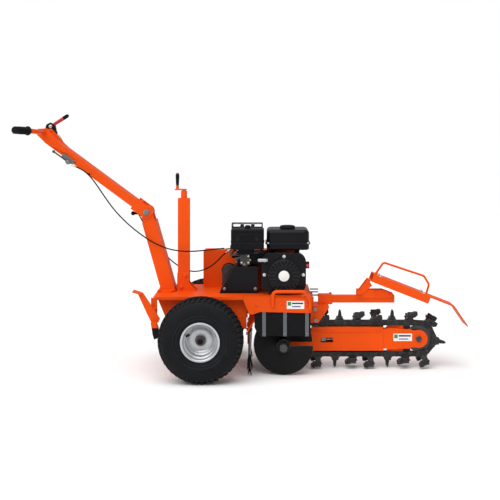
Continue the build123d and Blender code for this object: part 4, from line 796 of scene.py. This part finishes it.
# ---- digging boom details --------------------------------------------------------------------------
for name, body, x0, x1 in (("boom_chain_rails", "digging_boom", 0.380, 0.645),
                           ("nose_chain_rails", "boom_nose", 0.737, 0.772)):
    rails = Piece(name, body, CHAIN_STEEL, "dark_steel")
    for low, high in ((BOOM_Z + 0.048, BOOM_Z + 0.061), (BOOM_Z - 0.061, BOOM_Z - 0.048)):
        rails.box((x0, -0.0083, low), (x1, 0.0083, high))
    rails.finish()
nose_trim = Piece("nose_bearing_caps", "nose_wheel", DARK_STEEL, "dark_steel")
for side in (-1, 1):
    nose_trim.lathe([(0, 0), (0.0125, 0), (0.0135, 0.001), (0.0130, 0.004), (0.0080, 0.0055), (0, 0.0055)],
                    aim((0.80959, side * 0.0272, BOOM_Z), (0, side, 0)), 28)
nose_trim.finish(angle=35)
thread = Piece("tension_thread", "digging_boom", ZINC, "zinc_steel")
thread_profile = []
for index in range(62):
    z = 0.312 + index * 0.0019
    if z < 0.349 or z > 0.373:
        thread_profile += [(0.0070, z), (0.0076, z + 0.00095)]
for start, stop in ((0.0, 0.349), (0.373, 0.5)):
    run = [(r, z) for r, z in thread_profile if start <= z < stop]
    thread.lathe(run, aim((0, 0, 0.134), (1, 0, 0)), 20)
thread.finish(angle=60)
guard_trim = Piece("guard_bolts", "crumb_guard", ZINC, "zinc_steel")
for t in (0.12, 0.88):
    x, z = 0.589 + 0.266 * t, 0.431 - 0.104 * t
    for y in (-0.040, 0.040):
        guard_trim.bolt((x + 0.0066, y, z + 0.0168), (0.364, 0, 0.931), 0.012, 0.005)
guard_trim.finish()

# ---- wheel lock, crank and knob finish ----------------------------------------------------------------
shoe = Piece("lock_shoe_pad", "wheel_lock", RUBBER, "rubber")
pad = [(-0.4190, 0.2400), (-0.3903, 0.2400), (-0.3903, 0.1955), (-0.4085, 0.1890), (-0.4150, 0.2100)]
shoe.solid([(x, -z) for x, z in pad], SIDE_ON, 0.0285, -0.2905)
shoe.finish(bevel=0.0006)
axle_end = max(v.co.y for v in nodes["axle_carriage"].data.vertices)
axle_caps = Piece("axle_caps", "wheel_carriage", BLACK_PLASTIC, "black_plastic")
for side in (-1, 1):
    axle_caps.lathe([(0, 0.0025), (0.0060, 0.0023), (0.0110, 0.0010), (0.0134, -0.0015), (0.0134, -0.0070),
                     (0.0124, -0.0070), (0.0124, 0.0003), (0, 0.0003)],
                    aim((AXLE.x, side * axle_end, AXLE.z), (0, side, 0)), 32)
axle_caps.finish(angle=50)
grip = Piece("crank_grip_sleeve", "jack_knob", BLACK_PLASTIC, "black_plastic")
grip.lathe([(0.00405, 0.861), (0.0062, 0.861), (0.0072, 0.866), (0.0078, 0.880), (0.0086, 0.894),
            (0.0091, 0.904), (0.0088, 0.912), (0.0074, 0.9165), (0.0060, 0.9175), (0.00405, 0.9175)],
           Matrix.Translation((-0.3305, 0, 0)), 32, closed=True)
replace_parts(grip.finish(angle=50), "crank_grip")
knob = Piece("lock_pin_knob", "lock_pin", BLACK_PLASTIC, "black_plastic")
knob.lathe([(0, -0.0100)] + [(0.0100 * sin(pi * k / 16), -0.0100 * cos(pi * k / 16)) for k in range(1, 13)]
           + [(0.0058, 0.0088), (0.0058, 0.0315), (0.0048, 0.0338), (0, 0.0338)],
           aim((-0.541, 0, 0.730), (1, 0, 0)), 40)
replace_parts(knob.finish(angle=40), "lock_pin")

# ---- soft light, pale floor -----------------------------------------------------------------------------
floor_data = bpy.data.meshes.new("floor")
floor_data.from_pydata([(-40, -40, 0), (40, -40, 0), (40, 40, 0), (-40, 40, 0)], [], [(0, 1, 2, 3)])
floor = bpy.data.objects.new("floor", floor_data)
scene.collection.objects.link(floor)
floor_data.materials.append(material("pale_floor", (0.97, 0.97, 0.97), 0.85, tone=0.01, tone_scale=0.5))

world = bpy.data.worlds.new("studio")
world.use_nodes = True
world.node_tree.nodes["Background"].inputs["Color"].default_value = (1.0, 1.0, 1.0, 1)
rays = world.node_tree.nodes.new("ShaderNodeLightPath")
level = world.node_tree.nodes.new("ShaderNodeMapRange")
level.inputs["To Min"].default_value = 0.50
level.inputs["To Max"].default_value = 1.0
world.node_tree.links.new(rays.outputs["Is Camera Ray"], level.inputs["Value"])
world.node_tree.links.new(level.outputs["Result"], world.node_tree.nodes["Background"].inputs["Strength"])
scene.world = world


def soft_light(name, place, target, size, power):
    """Large rectangular studio lamp."""
    data = bpy.data.lights.new(name, "AREA")
    data.shape = "RECTANGLE"
    data.size, data.size_y = size
    data.energy = power
    lamp = bpy.data.objects.new(name, data)
    scene.collection.objects.link(lamp)
    lamp.location = place
    lamp.rotation_euler = (Vector(target) - Vector(place)).to_track_quat("-Z", "Y").to_euler()


soft_light("key", (-1.6, -2.6, 3.4), (0, 0, 0.4), (2.4, 2.4), 16)
soft_light("top", (0.2, 0.4, 3.6), (0, 0, 0.5), (3.0, 2.0), 12)
sun_data = bpy.data.lights.new("sun", "SUN")
sun_data.energy = 2.2
sun_data.angle = radians(70)
sun = bpy.data.objects.new("sun", sun_data)
scene.collection.objects.link(sun)
sun.rotation_euler = Vector((0.30, 0.55, -1.0)).to_track_quat("-Z", "Y").to_euler()
